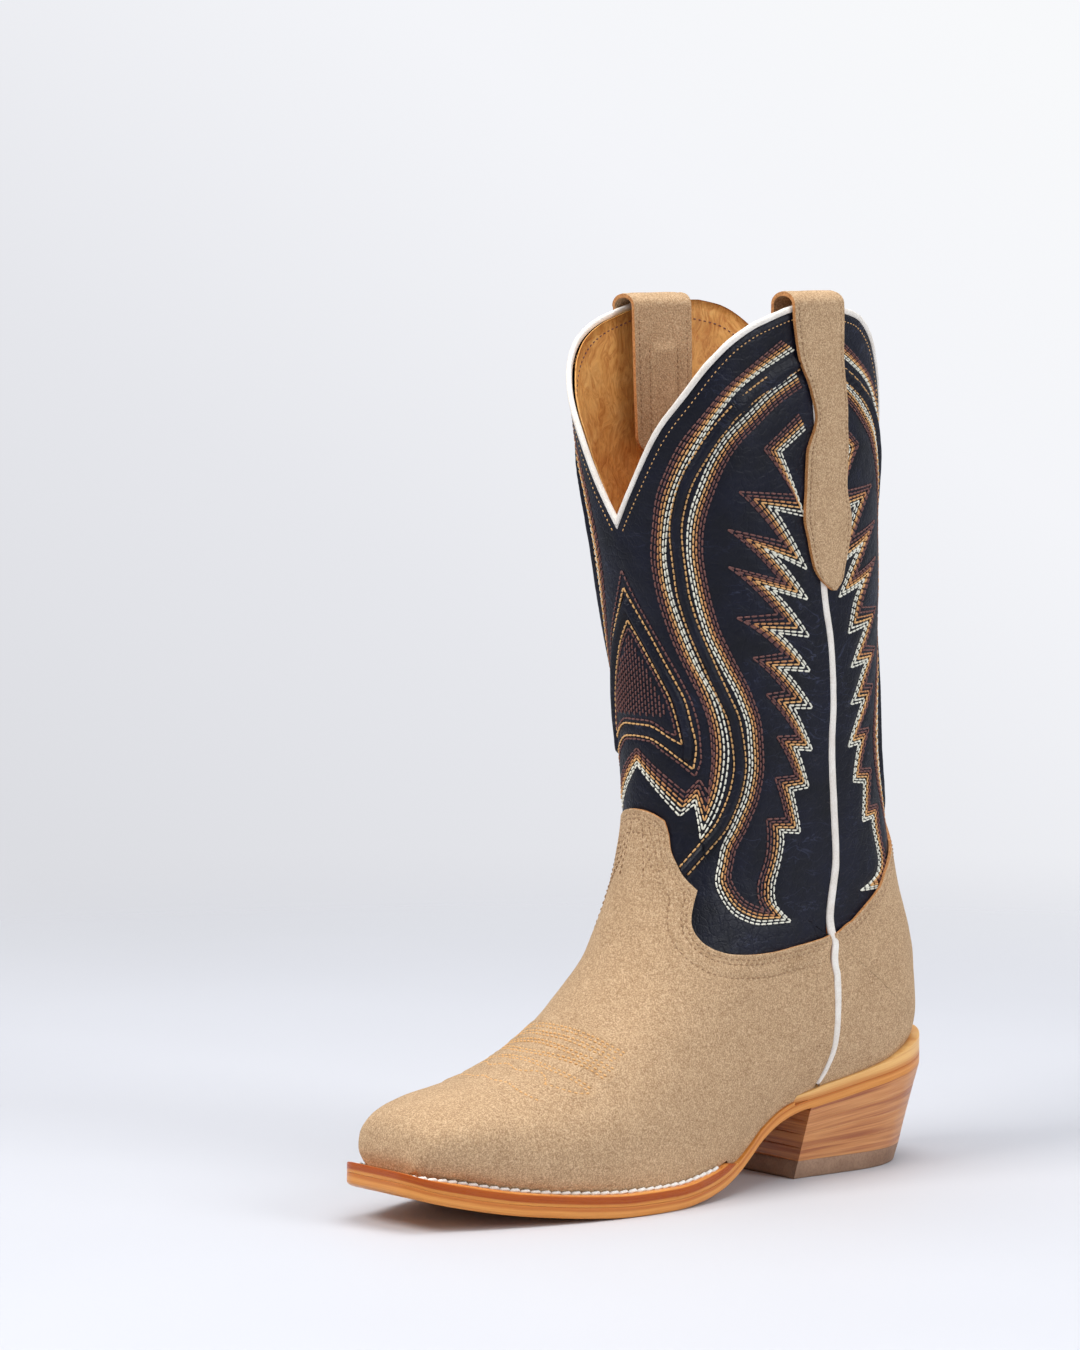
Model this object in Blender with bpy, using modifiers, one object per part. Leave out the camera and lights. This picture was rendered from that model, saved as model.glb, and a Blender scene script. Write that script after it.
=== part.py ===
"""Cowboy boot for the left foot, 302 mm over the outsole and about 390 mm tall.

Every piece is its own closed solid.  Lengths in this file are millimetres and are turned into
metres when a mesh is made.  X points to the outer (lateral) side, Y from the toe to the heel and
Z up.  "Station" y runs from the toe tip (0) to the heel tip (302).

The last, on which all the uppers lie, is a fan of sections.  A ring number u says which section
(0 at the toe tip, 12 through the heel point, 19 at the top of the shaft), and a place s says where
on it: 0 at the front centre line, 1 at the widest point, 2 at the sole or the back centre line.
"""
import math

import bmesh
import bpy
import numpy as np

MM = 0.001

# ---------------------------------------------------------------- driving dimensions (mm)
SOLE_LENGTH = 302.0
HALF_LENGTH = SOLE_LENGTH / 2
TOE_FEATHER, HEEL_FEATHER = 7.5, 293.0     # where the upper meets the sole, front and back
GAP = 0.35                                 # clearance between touching pieces
OUTSOLE_THICK = 4.9
OUTSOLE_THICK_WAIST = 4.2
INSOLE_THICK = 2.4
INSOLE_THICK_WAIST = 1.6
SHANK_THICK = 0.9
SOLE_BEVEL = 1.2
CAP_THICK = 8.0
HEEL_REAR_TOP, HEEL_REAR_HEIGHT = 301.4, 32
LIFT_COUNT = 4
HEEL_BREAST_TOP, HEEL_BREAST_BOTTOM = 214.5, 209.5
HEEL_STATIONS = [HEEL_BREAST_TOP, 232, 248, 262, 273, 283, 291, 297, HEEL_REAR_TOP]
HEEL_REAR_BOTTOM = 288.0
HEEL_TAPER = 0.84                          # width of the heel at the floor over that at its top
NAIL_RADIUS, NAIL_HOLE_RADIUS = 1.2, 1.65
NAIL_TIP = 12.0                            # height of the nails' points above the floor
NAIL_PLACES = [(-17, 228), (15, 228), (-17, 262), (17, 262), (0, 277)]
WAIST_RAND = 206.0                         # station where the welt ends and the heel rand starts

SHAFT_LAYER = (0.0, 1.2)                   # outer offset from the last's skin, thickness
LINING_LAYER = (-1.65, 1.0)
STIFF_LAYER = (0.0, 0.8)
SUEDE_LAYER = (2.0, 1.35)
LAYER_SPREAD = 0.2                         # extra room between layers at the toe and heel points
UPPER_LIFT = 1.8                           # the last's lower edge over the welt
FOOT_SINK = 1.3                            # how far the foot of the last lies inside its outline
LAP = 0.6                                  # overlap of vamp and counter on the shaft, in rings
LINING_JOIN = 0.3                          # gap between two lining pieces, in rings
SEAM_HALF_SLOT = 0.032                     # half the side seam's slot, in places

# ---------------------------------------------------------------- sole outline and heights
# (station, half width)
LATERAL = [(0, 16), (2, 20.5), (7, 24), (15, 27.8), (30, 34), (50, 41), (70, 47), (90, 51),
           (110, 52.5), (130, 50.5), (150, 45.5), (170, 39.5), (190, 35), (205, 33.2), (220, 33),
           (240, 34), (258, 34.5), (272, 32.5), (284, 27), (293, 19), (299, 9.5), (302, 0)]
MEDIAL = [(0, 19), (2, 23.5), (7, 26.5), (15, 29.5), (30, 35), (50, 41), (70, 45.5), (90, 48),
          (105, 48.5), (120, 47), (140, 41), (160, 34.5), (180, 30.5), (200, 29.5), (220, 30.5),
          (240, 32.5), (258, 33.5), (272, 32), (284, 27), (293, 19), (299, 9.5), (302, 0)]
# (station, height of the outsole's underside); it lies flat on the floor from 98 to 122
UNDERSIDE = [(0, 16), (8, 13), (20, 9.8), (43, 5.2), (60, 3), (82, 0.9), (98, 0), (122, 0),
             (141, 1.6), (155, 4.4), (165, 8.2), (175, 14.2), (184, 20.6), (197, 27), (210, 30.6),
             (222, 32.4), (244, 36), (269, 40), (302, 45)]
# (station, height where the upper meets the welt or rand)
FEATHER = [(0, 25.6), (8, 22.6), (22, 19.6), (47, 14.6), (72, 11.6), (98, 10), (122, 10),
           (141, 11.9), (155, 14.2), (165, 17.4), (175, 22.4), (184, 28.2), (197, 34.4),
           (210, 38.2), (220, 40.4), (240, 43.8), (258, 47), (275, 50.5), (293, 53.5), (302, 54.5)]
WELT_WIDTH = [(0, 7.5), (30, 6.5), (110, 5.5), (150, 3.5), (185, 1.5), (230, 1.5), (260, 3),
              (285, 6.5), (302, 9)]
LEDGE_DROP = [(0, 0), (205, 0), (225, 1), (260, 1.8), (302, 3.2)]  # outer edge of the heel rand

# ---------------------------------------------------------------- the last
# front point (station, height), back point (station, height or None on the sole), half widths
# lateral and medial, place of the widest point along the section, squareness of the front
SECTIONS = [
    (7.5, 24.0, 7.6, None, 13.0, 15.5, .50, -.20),
    (6.0, 32.0, 11.0, None, 18.0, 21.5, .47, -.25),
    (8.0, 40.5, 17.0, None, 23.0, 26.0, .42, -.30),
    (15, 47.0, 27.0, None, 28.5, 31.0, .38, -.30),
    (32, 52.3, 42.0, None, 35.0, 36.0, .35, -.24),
    (56, 56.9, 62.0, None, 42.5, 41.0, .32, -.14),
    (79, 64.7, 84.0, None, 47.0, 44.5, .30, -.06),
    (100, 77.2, 110, None, 48.0, 46.0, .29, -.04),
    (117, 93.2, 140, None, 46.0, 44.5, .30, -.06),
    (130, 111.7, 175, None, 43.0, 41.5, .32, -.10),
    (138, 131.7, 220, None, 41.0, 41.0, .36, -.15),
    (142, 149.7, 270, None, 40.5, 40.5, .39, -.18),
    (143.5, 160.7, 293, None, 40.5, 40.5, .40, -.20),
    (143.5, 170.7, 295, 64, 41.0, 41.0, .42, -.20),
    (143, 187.7, 292.5, 88, 42.0, 42.5, .44, -.18),
    (141, 212.7, 281, 123, 44.0, 44.0, .46, -.14),
    (138, 242.7, 272.5, 168, 46.5, 46.5, .48, -.12),
    (132.5, 277.7, 270, 223, 48.0, 48.5, .50, -.18),
    (126, 328, 270, 298, 49.5, 50.0, .52, -.42),
    (120, 382, 271, 382, 51.0, 51.5, .55, -.58),
]
HEEL_RING, TOP_RING = 12.0, 19.0

# ---------------------------------------------------------------- panel outlines on the last
# (place, ring): top of the vamp with its tongue, then down along the side seam to the sole
VAMP_EDGE = [(0, 12.35), (.13, 12.3), (.21, 10.85), (.30, 10.55), (.40, 10.6), (.44, 9.95),
             (.54, 9.68), (.66, 9.9), (.78, 10.4), (.88, 11.45), (.91, 11.62), (1, 10.7),
             (1.22, 10.4), (1.51, 10.05), (1.74, 9.84), (2, 9.74)]
# (place, ring): the middle of the side seam on the foot, and the counter's edge along it
SEAM_FOOT = [(.91, 12.1), (.95, 11.5), (1, 11), (1.22, 10.57), (1.51, 10.21), (1.74, 10), (2, 9.9)]
COUNTER_FRONT = [(.945, 12.05), (1, 11.3), (1.12, 10.95), (1.22, 10.75), (1.51, 10.37),
                 (1.74, 10.17), (2, 10.06)]
COUNTER_EDGE = [(.91, 12.2), (1.06, 13.6), (1.42, 15.17), (1.7, 15.5), (1.85, 15.8), (2, 15.85)]
LINING_EDGE = [(0, 11.2), (.3, 9.8), (.55, 9.0), (.8, 9.6), (.91, 10.4)]
# (ring, place): the side seam up the shaft
SEAM_SHAFT = [(11, 1), (12.1, .91), (12.64, .90), (14.03, .95), (14.92, 1), (15.75, 1.04),
              (16.34, 1.08), (16.82, 1.09), (17.18, 1.06), (19, 1.06)]
# (place, ring): the deep V at the front, the ears at the sides, the shallower V behind
TOP_LINE = [(0, 17.2), (.12, 17.56), (.27, 18.05), (.38, 18.3), (.51, 18.56), (.65, 18.75),
            (.8, 18.87), (1.06, 18.97), (1.3, 18.92), (1.44, 18.8), (1.57, 18.55), (1.7, 18.25),
            (1.85, 17.9), (2, 17.6)]

# (height, station of the middle, half width) of the pull strap outside the shaft
STRAP_OUTSIDE = [(259, 211.5, 1.0), (263, 210.5, 6.0), (270, 209, 9.6), (280, 209, 12.6),
                 (290, 208, 14.4), (304, 206.5, 12.6), (318, 207, 12.8), (333, 209, 10.0),
                 (345, 206.5, 11.0), (360, 202, 13.0), (382, 200, 13.6)]
STRAP_INSIDE_END = 316.0
STRAP_THICK = 1.8
STRAP_OUTER_OFFSET, STRAP_TOP_OUTSIDE = 2.5, 3.5     # outer face of the outside leg, low and high
STRAP_TOP_INSIDE = -6.5                              # outer face of the inside leg
STRAP_LOOP_HEIGHT = 384.2                            # height of the centre of the loop

COLOURS = {
    "suede": ((0.48, 0.30, 0.16), 0.9, 0.0), "shaft": ((0.010, 0.011, 0.020), 0.45, 0.0),
    "lining": ((0.58, 0.35, 0.12), 0.7, 0.0), "piping": ((0.83, 0.78, 0.72), 0.6, 0.0),
    "board": ((0.30, 0.22, 0.15), 0.8, 0.0), "cork": ((0.35, 0.22, 0.11), 0.9, 0.0),
    "steel": ((0.55, 0.56, 0.58), 0.3, 1.0), "welt": ((0.51, 0.14, 0.06), 0.4, 0.0),
    "sole": ((0.60, 0.35, 0.16), 0.4, 0.0), "heel": ((0.50, 0.20, 0.07), 0.4, 0.0),
    "rubber": ((0.20, 0.11, 0.08), 0.7, 0.0), "stiffener": ((0.62, 0.55, 0.42), 0.8, 0.0),
}


def curve(pairs, at):
    """Smooth curve through (place, value) pairs that never overshoots them."""
    x, y = np.asarray(pairs, float).T
    step = np.diff(x)
    slope = np.diff(y) / step
    tangent = np.empty(len(x))
    tangent[0], tangent[-1] = slope[0], slope[-1]
    w1 = 2 * step[1:] + step[:-1]
    w2 = step[1:] + 2 * step[:-1]
    with np.errstate(divide="ignore", invalid="ignore"):
        mean = (w1 + w2) / (w1 / slope[:-1] + w2 / slope[1:])
    tangent[1:-1] = np.where(slope[:-1] * slope[1:] > 0, mean, 0.0)
    a = np.clip(at, x[0], x[-1])
    i = np.clip(np.searchsorted(x, a) - 1, 0, len(step) - 1)
    h = step[i]
    t = (a - x[i]) / h
    return ((1 + 2 * t) * (1 - t) ** 2 * y[i] + t * (1 - t) ** 2 * h * tangent[i]
            + t * t * (3 - 2 * t) * y[i + 1] + t * t * (t - 1) * h * tangent[i + 1])


def half_sole(y, side):
    return curve(LATERAL if side > 0 else MEDIAL, y)


def half_feather(y, side):
    """Half width of the line where the upper meets the sole; it closes at both ends."""
    y = np.clip(np.asarray(y, float), TOE_FEATHER, HEEL_FEATHER)
    along = (y - TOE_FEATHER) / (HEEL_FEATHER - TOE_FEATHER) * SOLE_LENGTH
    inset = half_sole(y, side) - curve(WELT_WIDTH, y)
    scaled = half_sole(along, side) * np.where(along < 60, 0.80, 0.86)
    near_end = np.clip(curve([(0, 1), (40, 0)], along) + curve([(262, 0), (302, 1)], along), 0, 1)
    return scaled * near_end + inset * (1 - near_end)


# ---------------------------------------------------------------- the last as a surface
SECTION_TABLE = np.array([[np.nan if v is None else v for v in row] for row in SECTIONS], float)
ON_SOLE = np.isnan(SECTION_TABLE[:, 3])
SECTION_TABLE[ON_SOLE, 3] = curve(FEATHER, SECTION_TABLE[ON_SOLE, 2])


def section(u):
    """Front station and height, back station and height, half widths, widest place, squareness."""
    rings = np.arange(len(SECTION_TABLE))
    front_y, front_z, back_y, back_z, lateral, medial, widest, square = (
        curve(np.stack([rings, column], 1), u) for column in SECTION_TABLE.T)
    back_z = np.where(u <= HEEL_RING, curve(FEATHER, back_y) + UPPER_LIFT, back_z)
    return front_y, front_z, back_y, back_z, lateral, medial, widest, square


def last_point(u, s, side):
    """Point of the last's outline at ring u and place s, on the lateral (1) or medial (-1) side."""
    front_y, front_z, back_y, back_z, lateral, medial, widest, square = section(u)
    edge = np.where(u <= HEEL_RING, half_feather(back_y, side), 0.0)
    width = np.maximum(lateral if side > 0 else medial, edge + 0.3 * (u <= HEEL_RING))
    end = np.radians(60 + 30 * np.clip((u - 10.5) / 1.5, 0, 1))
    upper = np.clip(s, 0, 1) * np.pi / 2
    lower = np.clip(s - 1, 0, 1) * end
    x_upper = width * np.sin(upper) * (1 - square * np.cos(upper) ** 2)
    x_lower = edge + (width - edge) * (np.cos(lower) - np.cos(end)) / (1 - np.cos(end))
    t_upper = widest + (1 - widest) * np.cos(upper)
    t_lower = widest * (1 - np.sin(lower) / np.sin(end))
    x = np.where(s <= 1, x_upper, x_lower)
    t = np.where(s <= 1, t_upper, t_lower)
    y = back_y + t * (front_y - back_y)
    z = back_z + t * (front_z - back_z)
    return np.stack([side * x, y - HALF_LENGTH, z], -1)


def skin(u, s, side, offset=0.0):
    """Point of the last's skin moved out along its normal."""
    u, s = np.broadcast_arrays(np.asarray(u, float), np.asarray(s, float))
    u0, u1 = np.clip(u - 0.02, 0, TOP_RING), np.clip(u + 0.02, 0, TOP_RING)
    s0, s1 = np.clip(s - 0.01, 0, 2), np.clip(s + 0.01, 0, 2)
    along = last_point(u1, s, side) - last_point(u0, s, side)
    across = last_point(u, s1, side) - last_point(u, s0, side)
    normal = np.cross(across, along) * side
    centre = (s <= 0) | ((s >= 2) & (u > HEEL_RING - 0.01))
    normal[..., 0] = np.where(centre, 0.0, normal[..., 0])
    normal /= np.linalg.norm(normal, axis=-1, keepdims=True)
    sink = FOOT_SINK * np.clip((14 - u) / 5, 0, 1)
    return last_point(u, s, side) + normal * (np.asarray(offset, float) - sink)[..., None]


def locate(station, height):
    """Ring and place of the skin at a station and a height, seen from the side."""
    low, high = 0.0, TOP_RING
    for _ in range(40):
        u = (low + high) / 2
        front_y, front_z, back_y, back_z, _, _, widest, _ = section(np.float64(u))
        t = (station - back_y) / (front_y - back_y)
        if back_z + t * (front_z - back_z) < height:
            low = u
        else:
            high = u
    t = float(np.clip(t, 0, 1))
    if t > widest:
        return u, math.acos((t - widest) / (1 - widest)) / (math.pi / 2)
    end = math.radians(60 + 30 * min(max((u - 10.5) / 1.5, 0), 1))
    return u, 1 + math.asin((1 - t / widest) * math.sin(end)) / end


# ---------------------------------------------------------------- scene helpers
def start_scene():
    for thing in list(bpy.data.objects):
        bpy.data.objects.remove(thing, do_unlink=True)
    model = bpy.data.collections.new("cowboy_boot")
    tools = bpy.data.collections.new("cutters")
    bpy.context.scene.collection.children.link(model)
    bpy.context.scene.collection.children.link(tools)
    return model, tools


MODEL, TOOLS = start_scene()


def material(name, finish):
    colour, roughness, metallic = COLOURS[finish]
    result = bpy.data.materials.new(name + "_material")
    result.use_nodes = True
    shader = result.node_tree.nodes["Principled BSDF"]
    shader.inputs["Base Color"].default_value = (*colour, 1.0)
    shader.inputs["Roughness"].default_value = roughness
    shader.inputs["Metallic"].default_value = metallic
    return result


def add_object(name, mesh, finish):
    thing = bpy.data.objects.new(name, mesh)
    if finish:
        mesh.materials.append(material(name, finish))
        MODEL.objects.link(thing)
    else:
        TOOLS.objects.link(thing)
        thing.hide_render = True
        thing.display_type = "WIRE"
    return thing


def mesh_from(name, points, faces):
    """Mesh of points (mm) and faces, with doubled points and empty faces taken out."""
    mesh = bpy.data.meshes.new(name)
    mesh.from_pydata([tuple(p * MM for p in point) for point in points], [], faces)
    work = bmesh.new()
    work.from_mesh(mesh)
    bmesh.ops.remove_doubles(work, verts=work.verts, dist=0.02 * MM)
    bmesh.ops.dissolve_degenerate(work, edges=work.edges, dist=0.01 * MM)
    work.to_mesh(mesh)
    work.free()
    return mesh


def grid_faces(rows, columns, split):
    """Triangles of a grid; a split grid has no faces between its two middle columns."""
    faces = []
    for i in range(rows - 1):
        for j in range(columns - 1):
            if split and j == columns // 2 - 1:
                continue
            here, above = i * columns + j, (i + 1) * columns + j
            faces += [(here, here + 1, above + 1), (here, above + 1, above)]
    return faces


def loft(name, rings, finish, closed_path=False):
    """Closed solid through rings of equal numbers of points, capped at both ends."""
    count, sides = len(rings), len(rings[0])
    faces = []
    for i in range(count if closed_path else count - 1):
        k = (i + 1) % count
        faces += [(i * sides + j, i * sides + (j + 1) % sides, k * sides + (j + 1) % sides,
                   k * sides + j) for j in range(sides)]
    if not closed_path:
        faces += [tuple(range(sides)), tuple((count - 1) * sides + j for j in range(sides))]
    mesh = mesh_from(name, [p for ring in rings for p in ring], faces)
    work = bmesh.new()
    work.from_mesh(mesh)
    bmesh.ops.recalc_face_normals(work, faces=work.faces)
    work.to_mesh(mesh)
    work.free()
    return add_object(name, mesh, finish)


def shell(name, grid, thickness, finish):
    """Open surface through a grid of outer points, thickened inwards with Solidify.

    A grid with an even number of columns has its middle column twice, once for each side.
    """
    rows, columns = grid.shape[:2]
    mesh = mesh_from(name, grid.reshape(-1, 3), grid_faces(rows, columns, columns % 2 == 0))
    for face in mesh.polygons:
        face.use_smooth = True
    thing = add_object(name, mesh, finish)
    thick = thing.modifiers.new("thickness", "SOLIDIFY")
    thick.thickness = thickness * MM
    thick.offset = -1
    return thing


def cut(thing, cutter):
    hole = thing.modifiers.new("cut_" + cutter.name, "BOOLEAN")
    hole.operation = "DIFFERENCE"
    hole.object = cutter


# ---------------------------------------------------------------- uppers
# Grid lines shared by every layer, so that the facets of neighbouring layers stay parallel
VAMP_PLACES = [0, .13, .21, .30, .40, .44, .54, .66, .78, .88, .91, 1, 1.22, 1.51, 1.74, 2]
COUNTER_PLACES = [.945, 1, 1.12, 1.22, 1.36, 1.51, 1.64, 1.76, 1.88, 2]
FRONT_SHARES = [0, .15, .24, .34, .45, .50, .62, .75, .88, 1]
BACK_SHARES = [0, .15, .3, .45, .6, .73, .86, 1]
FOOT_ROWS = [0, .6, 1.3, 2.1, 3, 4, 5, 6, 7, 7.7, 8.4, 8.9, 9.3, 9.7, 10, 10.3, 10.6, 10.9, 11.2,
             11.5, 11.8, 12.2, 12.7, 13.3, 14, 14.8, 15.6, 16]
SHAFT_ROWS = [8.4, 9.3, 10, 10.6, 11.2, 11.8, 12.7, 13.3, 14, 14.8, 15.6, 16.4, 17.2, 17.7, 18.2,
              18.6, 19]


def both_sides(one_side, front):
    """Joins a side's grid of columns to its other half across the centre line."""
    if front:                               # medial edge, front centre line, lateral edge
        return np.concatenate([one_side(-1)[:, ::-1], one_side(1)[:, 1:]], 1)
    return np.concatenate([one_side(1), one_side(-1)[:, ::-1]], 1)


def rows_within(rows, low, high):
    """Ring numbers of a grid: the shared rows, held between each column's two ends."""
    inner = np.array(rows, float)[1:-1, None]
    return np.concatenate([low[None], np.clip(inner, low, high), high[None]])


def foot_grid(offset, places, low, high, front):
    """Grid on the foot, from ring low to ring high at each place."""
    places = np.array(places, float)
    low_high = low(places), high(places)
    rows = [r for r in FOOT_ROWS if low_high[0].min() < r < low_high[1].max()]
    u = rows_within([0, *rows, 0], *low_high)
    s = places[None] + 0 * u
    heel_point = np.clip((s - 1.5) / 0.4, 0, 1) * np.clip((13.5 - u) / 1.5, 0, 1) * (u > 10)
    toe_tip = np.clip((2.5 - u) / 1.5, 0, 1)
    spread = LAYER_SPREAD * (offset - SUEDE_LAYER[0]) * np.maximum(heel_point, toe_tip)
    return both_sides(lambda side: skin(u, s, side, offset + spread), front)


def shaft_grid(offset, shares, low, high, front):
    """Grid on the shaft whose columns run from the centre line to the side seam."""
    shares = np.array(shares, float)

    def place(u, share):
        seam = curve(SEAM_SHAFT, u)
        if front:
            return share * (seam - SEAM_HALF_SLOT)
        return (seam + SEAM_HALF_SLOT) * (1 - share) + 2 * share

    start, end = shares * 0 + 14.0, shares * 0 + 18.0
    for _ in range(40):                     # the place of a column depends on its ring
        start = (start + low(place(start, shares))) / 2
        end = (end + high(place(end, shares))) / 2
    rows = [r for r in SHAFT_ROWS if start.min() < r < end.max()]
    u = rows_within([0, *rows, 0], start, end)
    s = place(u, shares[None] + 0 * u)
    return both_sides(lambda side: skin(u, s, side, offset), front)


def straight(pairs, at):
    """Straight runs between (place, value) pairs, for an outline with corners."""
    x, y = np.asarray(pairs, float).T
    return np.interp(at, x, y)


def vamp_top(s):
    return straight(VAMP_EDGE, s)


def counter_front(s):
    return straight(COUNTER_FRONT, s)


def counter_top(s):
    return curve(COUNTER_EDGE, s)


def top_line(s):
    return curve(TOP_LINE, s)


def toe_edge(s):
    return 0.15 + 0 * s


def front_shaft_low(s):
    return straight(VAMP_EDGE[:11], s) - LAP


def back_shaft_low(s):
    return counter_top(s) - LAP


def shaft_lining_low(s):
    return curve(LINING_EDGE, s) + LINING_JOIN


def vamp_lining_top(s):
    return np.minimum(curve(LINING_EDGE, s), vamp_top(s))


def heel_lining_top(s):
    return back_shaft_low(s) - LINING_JOIN


def make_uppers():
    offset, thick = SUEDE_LAYER
    shell("vamp", foot_grid(offset, VAMP_PLACES, lambda s: 0 * s, vamp_top, True), thick, "suede")
    shell("counter_cover", foot_grid(offset, COUNTER_PLACES, counter_front, counter_top, False),
          thick, "suede")

    offset, thick = SHAFT_LAYER
    shell("front_shaft", shaft_grid(offset, FRONT_SHARES, front_shaft_low, top_line, True),
          thick, "shaft")
    shell("back_shaft", shaft_grid(offset, BACK_SHARES, back_shaft_low, top_line, False),
          thick, "shaft")

    offset, thick = LINING_LAYER
    shell("front_shaft_lining", shaft_grid(offset, FRONT_SHARES, shaft_lining_low, top_line, True),
          thick, "lining")
    shell("back_shaft_lining", shaft_grid(offset, BACK_SHARES, back_shaft_low, top_line, False),
          thick, "lining")
    shell("vamp_lining", foot_grid(offset, VAMP_PLACES, toe_edge, vamp_lining_top, True),
          thick, "lining")
    shell("heel_lining",
          foot_grid(offset, COUNTER_PLACES[1:], counter_front, heel_lining_top, False),
          thick, "lining")

    offset, thick = STIFF_LAYER
    shell("toe_box", foot_grid(offset, VAMP_PLACES[:-1], lambda s: 0.5 + 0 * s,
                               lambda s: 4.3 - 0.35 * s, True), thick, "stiffener")
    shell("heel_stiffener",
          foot_grid(offset, COUNTER_PLACES[2:], counter_front, heel_lining_top, False),
          thick, "stiffener")


# ---------------------------------------------------------------- strips that follow the uppers
def box_section(centre, wide, high, half_wide, low, top):
    """Four corners of a strip's section: wide and high are its unit directions."""
    return [centre - wide * half_wide + high * low, centre + wide * half_wide + high * low,
            centre + wide * half_wide + high * top, centre - wide * half_wide + high * top]


def unit(vector):
    return vector / np.linalg.norm(vector)


def skin_frame(u, s, side):
    point = skin(u, s, side, 0.0)
    return point, unit(skin(u, s, side, 1.0) - point)


def seam_path():
    """(ring, place) down the side seam from the ear to the sole."""
    rings = [18.93, 18.4, 17.8, 17.2, 16.6, 16.0, 15.3, 14.6, 13.9, 13.2, 12.6]
    upper = [(u, float(curve(SEAM_SHAFT, u))) for u in rings]
    places = [.91, .94, 1, 1.1, 1.22, 1.36, 1.51, 1.62, 1.74, 1.86, 1.93]
    return upper + [(float(straight(SEAM_FOOT, s)), s) for s in places]


def make_side_piping(name, side):
    """White piping in the side seam; it steps outwards where the seam enters the suede."""
    frames = [skin_frame(np.float64(u), np.float64(s), side) for u, s in seam_path()]
    points = [p for p, _ in frames]
    rings = []
    for k, (point, normal) in enumerate(frames):
        run = unit(points[min(k + 1, len(points) - 1)] - points[max(k - 1, 0)])
        wide = unit(np.cross(run, normal))
        step = float(np.clip((118 - point[2]) / 14, 0, 1))
        rings.append(box_section(point, wide, normal, 1.5, -1.1 + 1.7 * step, 0.4 + 2.1 * step))
    loft(name, rings, "piping")


def make_top_binding(name, front):
    """Piping along the top edge of one panel, from ear to ear."""
    shares = np.array(FRONT_SHARES if front else BACK_SHARES, float)
    seam = float(curve(SEAM_SHAFT, 18.9))
    if front:
        places = shares * (seam - SEAM_HALF_SLOT)
        signed = [(s, -1) for s in places[::-1]] + [(s, 1) for s in places[1:]]
    else:
        places = (seam + SEAM_HALF_SLOT) * (1 - shares) + 2 * shares
        signed = [(s, 1) for s in places] + [(s, -1) for s in places[-2::-1]]
    offset = SHAFT_LAYER[0] - 1.25
    edge = [skin(np.float64(top_line(s)), np.float64(s), side, offset) for s, side in signed]
    frames = [skin_frame(np.float64(top_line(s)), np.float64(s), side) for s, side in signed]
    rings = []
    for k, (point, normal) in enumerate((edge[i], frames[i][1]) for i in range(len(edge))):
        before = unit(edge[k] - edge[k - 1]) if k else unit(edge[1] - edge[0])
        after = unit(edge[k + 1] - edge[k]) if k < len(edge) - 1 else before
        run = unit(before + after)
        up = unit(np.cross(normal, run))
        up = up if up[2] > 0 else -up
        stretch = 1 / max(float(np.dot(run, before)), 0.5)
        side_way = unit(np.cross(run, up))
        low, high = (GAP + 0.1) * stretch, 3.2 * stretch
        rings.append(box_section(point, side_way, up, 1.8, low, high))
    loft(name, rings, "piping")


def make_pull_strap(name, side):
    """Mule-ear strap: up the outside of the shaft, over the ear in a loop, and down inside."""
    def across(station, height, half, offset_outer, lift=0.0):
        row = []
        for share in (-1, -.5, 0, .5, 1):
            u, s = locate(station + share * half, min(height, 381.5))
            point = skin(u, s, side, 0.0)
            normal = unit((skin(u, s, side, 1.0) - point) * np.array([1, 1, 0]))
            row.append(point + normal * offset_outer + np.array([0, 0, lift]))
        return row

    rows = []
    for height, station, half in STRAP_OUTSIDE:
        share = min(max((height - 330) / 50, 0), 1)
        offset = STRAP_OUTER_OFFSET + (STRAP_TOP_OUTSIDE - STRAP_OUTER_OFFSET) * share
        rows.append(across(station, height, half, offset))
    middle = (STRAP_TOP_OUTSIDE + STRAP_TOP_INSIDE) / 2
    radius = (STRAP_TOP_OUTSIDE - STRAP_TOP_INSIDE) / 2
    for angle in range(0, 181, 30):
        turn = math.radians(angle)
        rows.append(across(200, 381.5, 13.6, middle + radius * math.cos(turn),
                           STRAP_LOOP_HEIGHT - 381.5 + radius * math.sin(turn)))
    for height, half in ((372, 13.6), (355, 13.6), (335, 13.6), (322, 13.6), (318, 11.5),
                         (STRAP_INSIDE_END, 8)):
        rows.append(across(200.5, height, half, STRAP_TOP_INSIDE))
    grid = np.array(rows)
    if side < 0:                            # keeps the thickness on the shaft's side
        grid = grid[:, ::-1]
    shell(name, grid, STRAP_THICK, "suede")


# ---------------------------------------------------------------- sole and heel
def slab(name, stations, half_width, low, high, finish, bevel=0.0):
    """Solid through cross sections at stations; low and high are heights along its length."""
    rings = []
    for y in stations:
        bottom, top = float(low(y)), float(high(y))
        lateral, medial = float(half_width(y, 1)), float(half_width(y, -1))
        cut_in = min(bevel, lateral * 0.3, medial * 0.3)
        ring = [(-medial + cut_in, bottom), (lateral - cut_in, bottom)]
        if bevel:
            ring += [(lateral, bottom + bevel), (lateral, top), (-medial, top),
                     (-medial, bottom + bevel)]
        else:
            ring += [(lateral, top), (-medial, top)]
        rings.append([np.array([x, y - HALF_LENGTH, z]) for x, z in ring])
    return loft(name, rings, finish)


def outsole_top(y):
    waist = curve([(130, 0), (165, 1)], y)
    return curve(UNDERSIDE, y) + OUTSOLE_THICK * (1 - waist) + OUTSOLE_THICK_WAIST * waist


def insole_bottom(y):
    waist = curve([(130, 0), (165, 1)], y)
    return curve(FEATHER, y) - INSOLE_THICK * (1 - waist) - INSOLE_THICK_WAIST * waist


SOLE_STATIONS = [0, 2, 7, 15, 30, 50, 70, 84, 98, 122, 136, 148, 157, 166, 175, 184, 195, 207,
                 220, 240, 258, 272, 284, 293, 299, 301.4]


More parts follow.
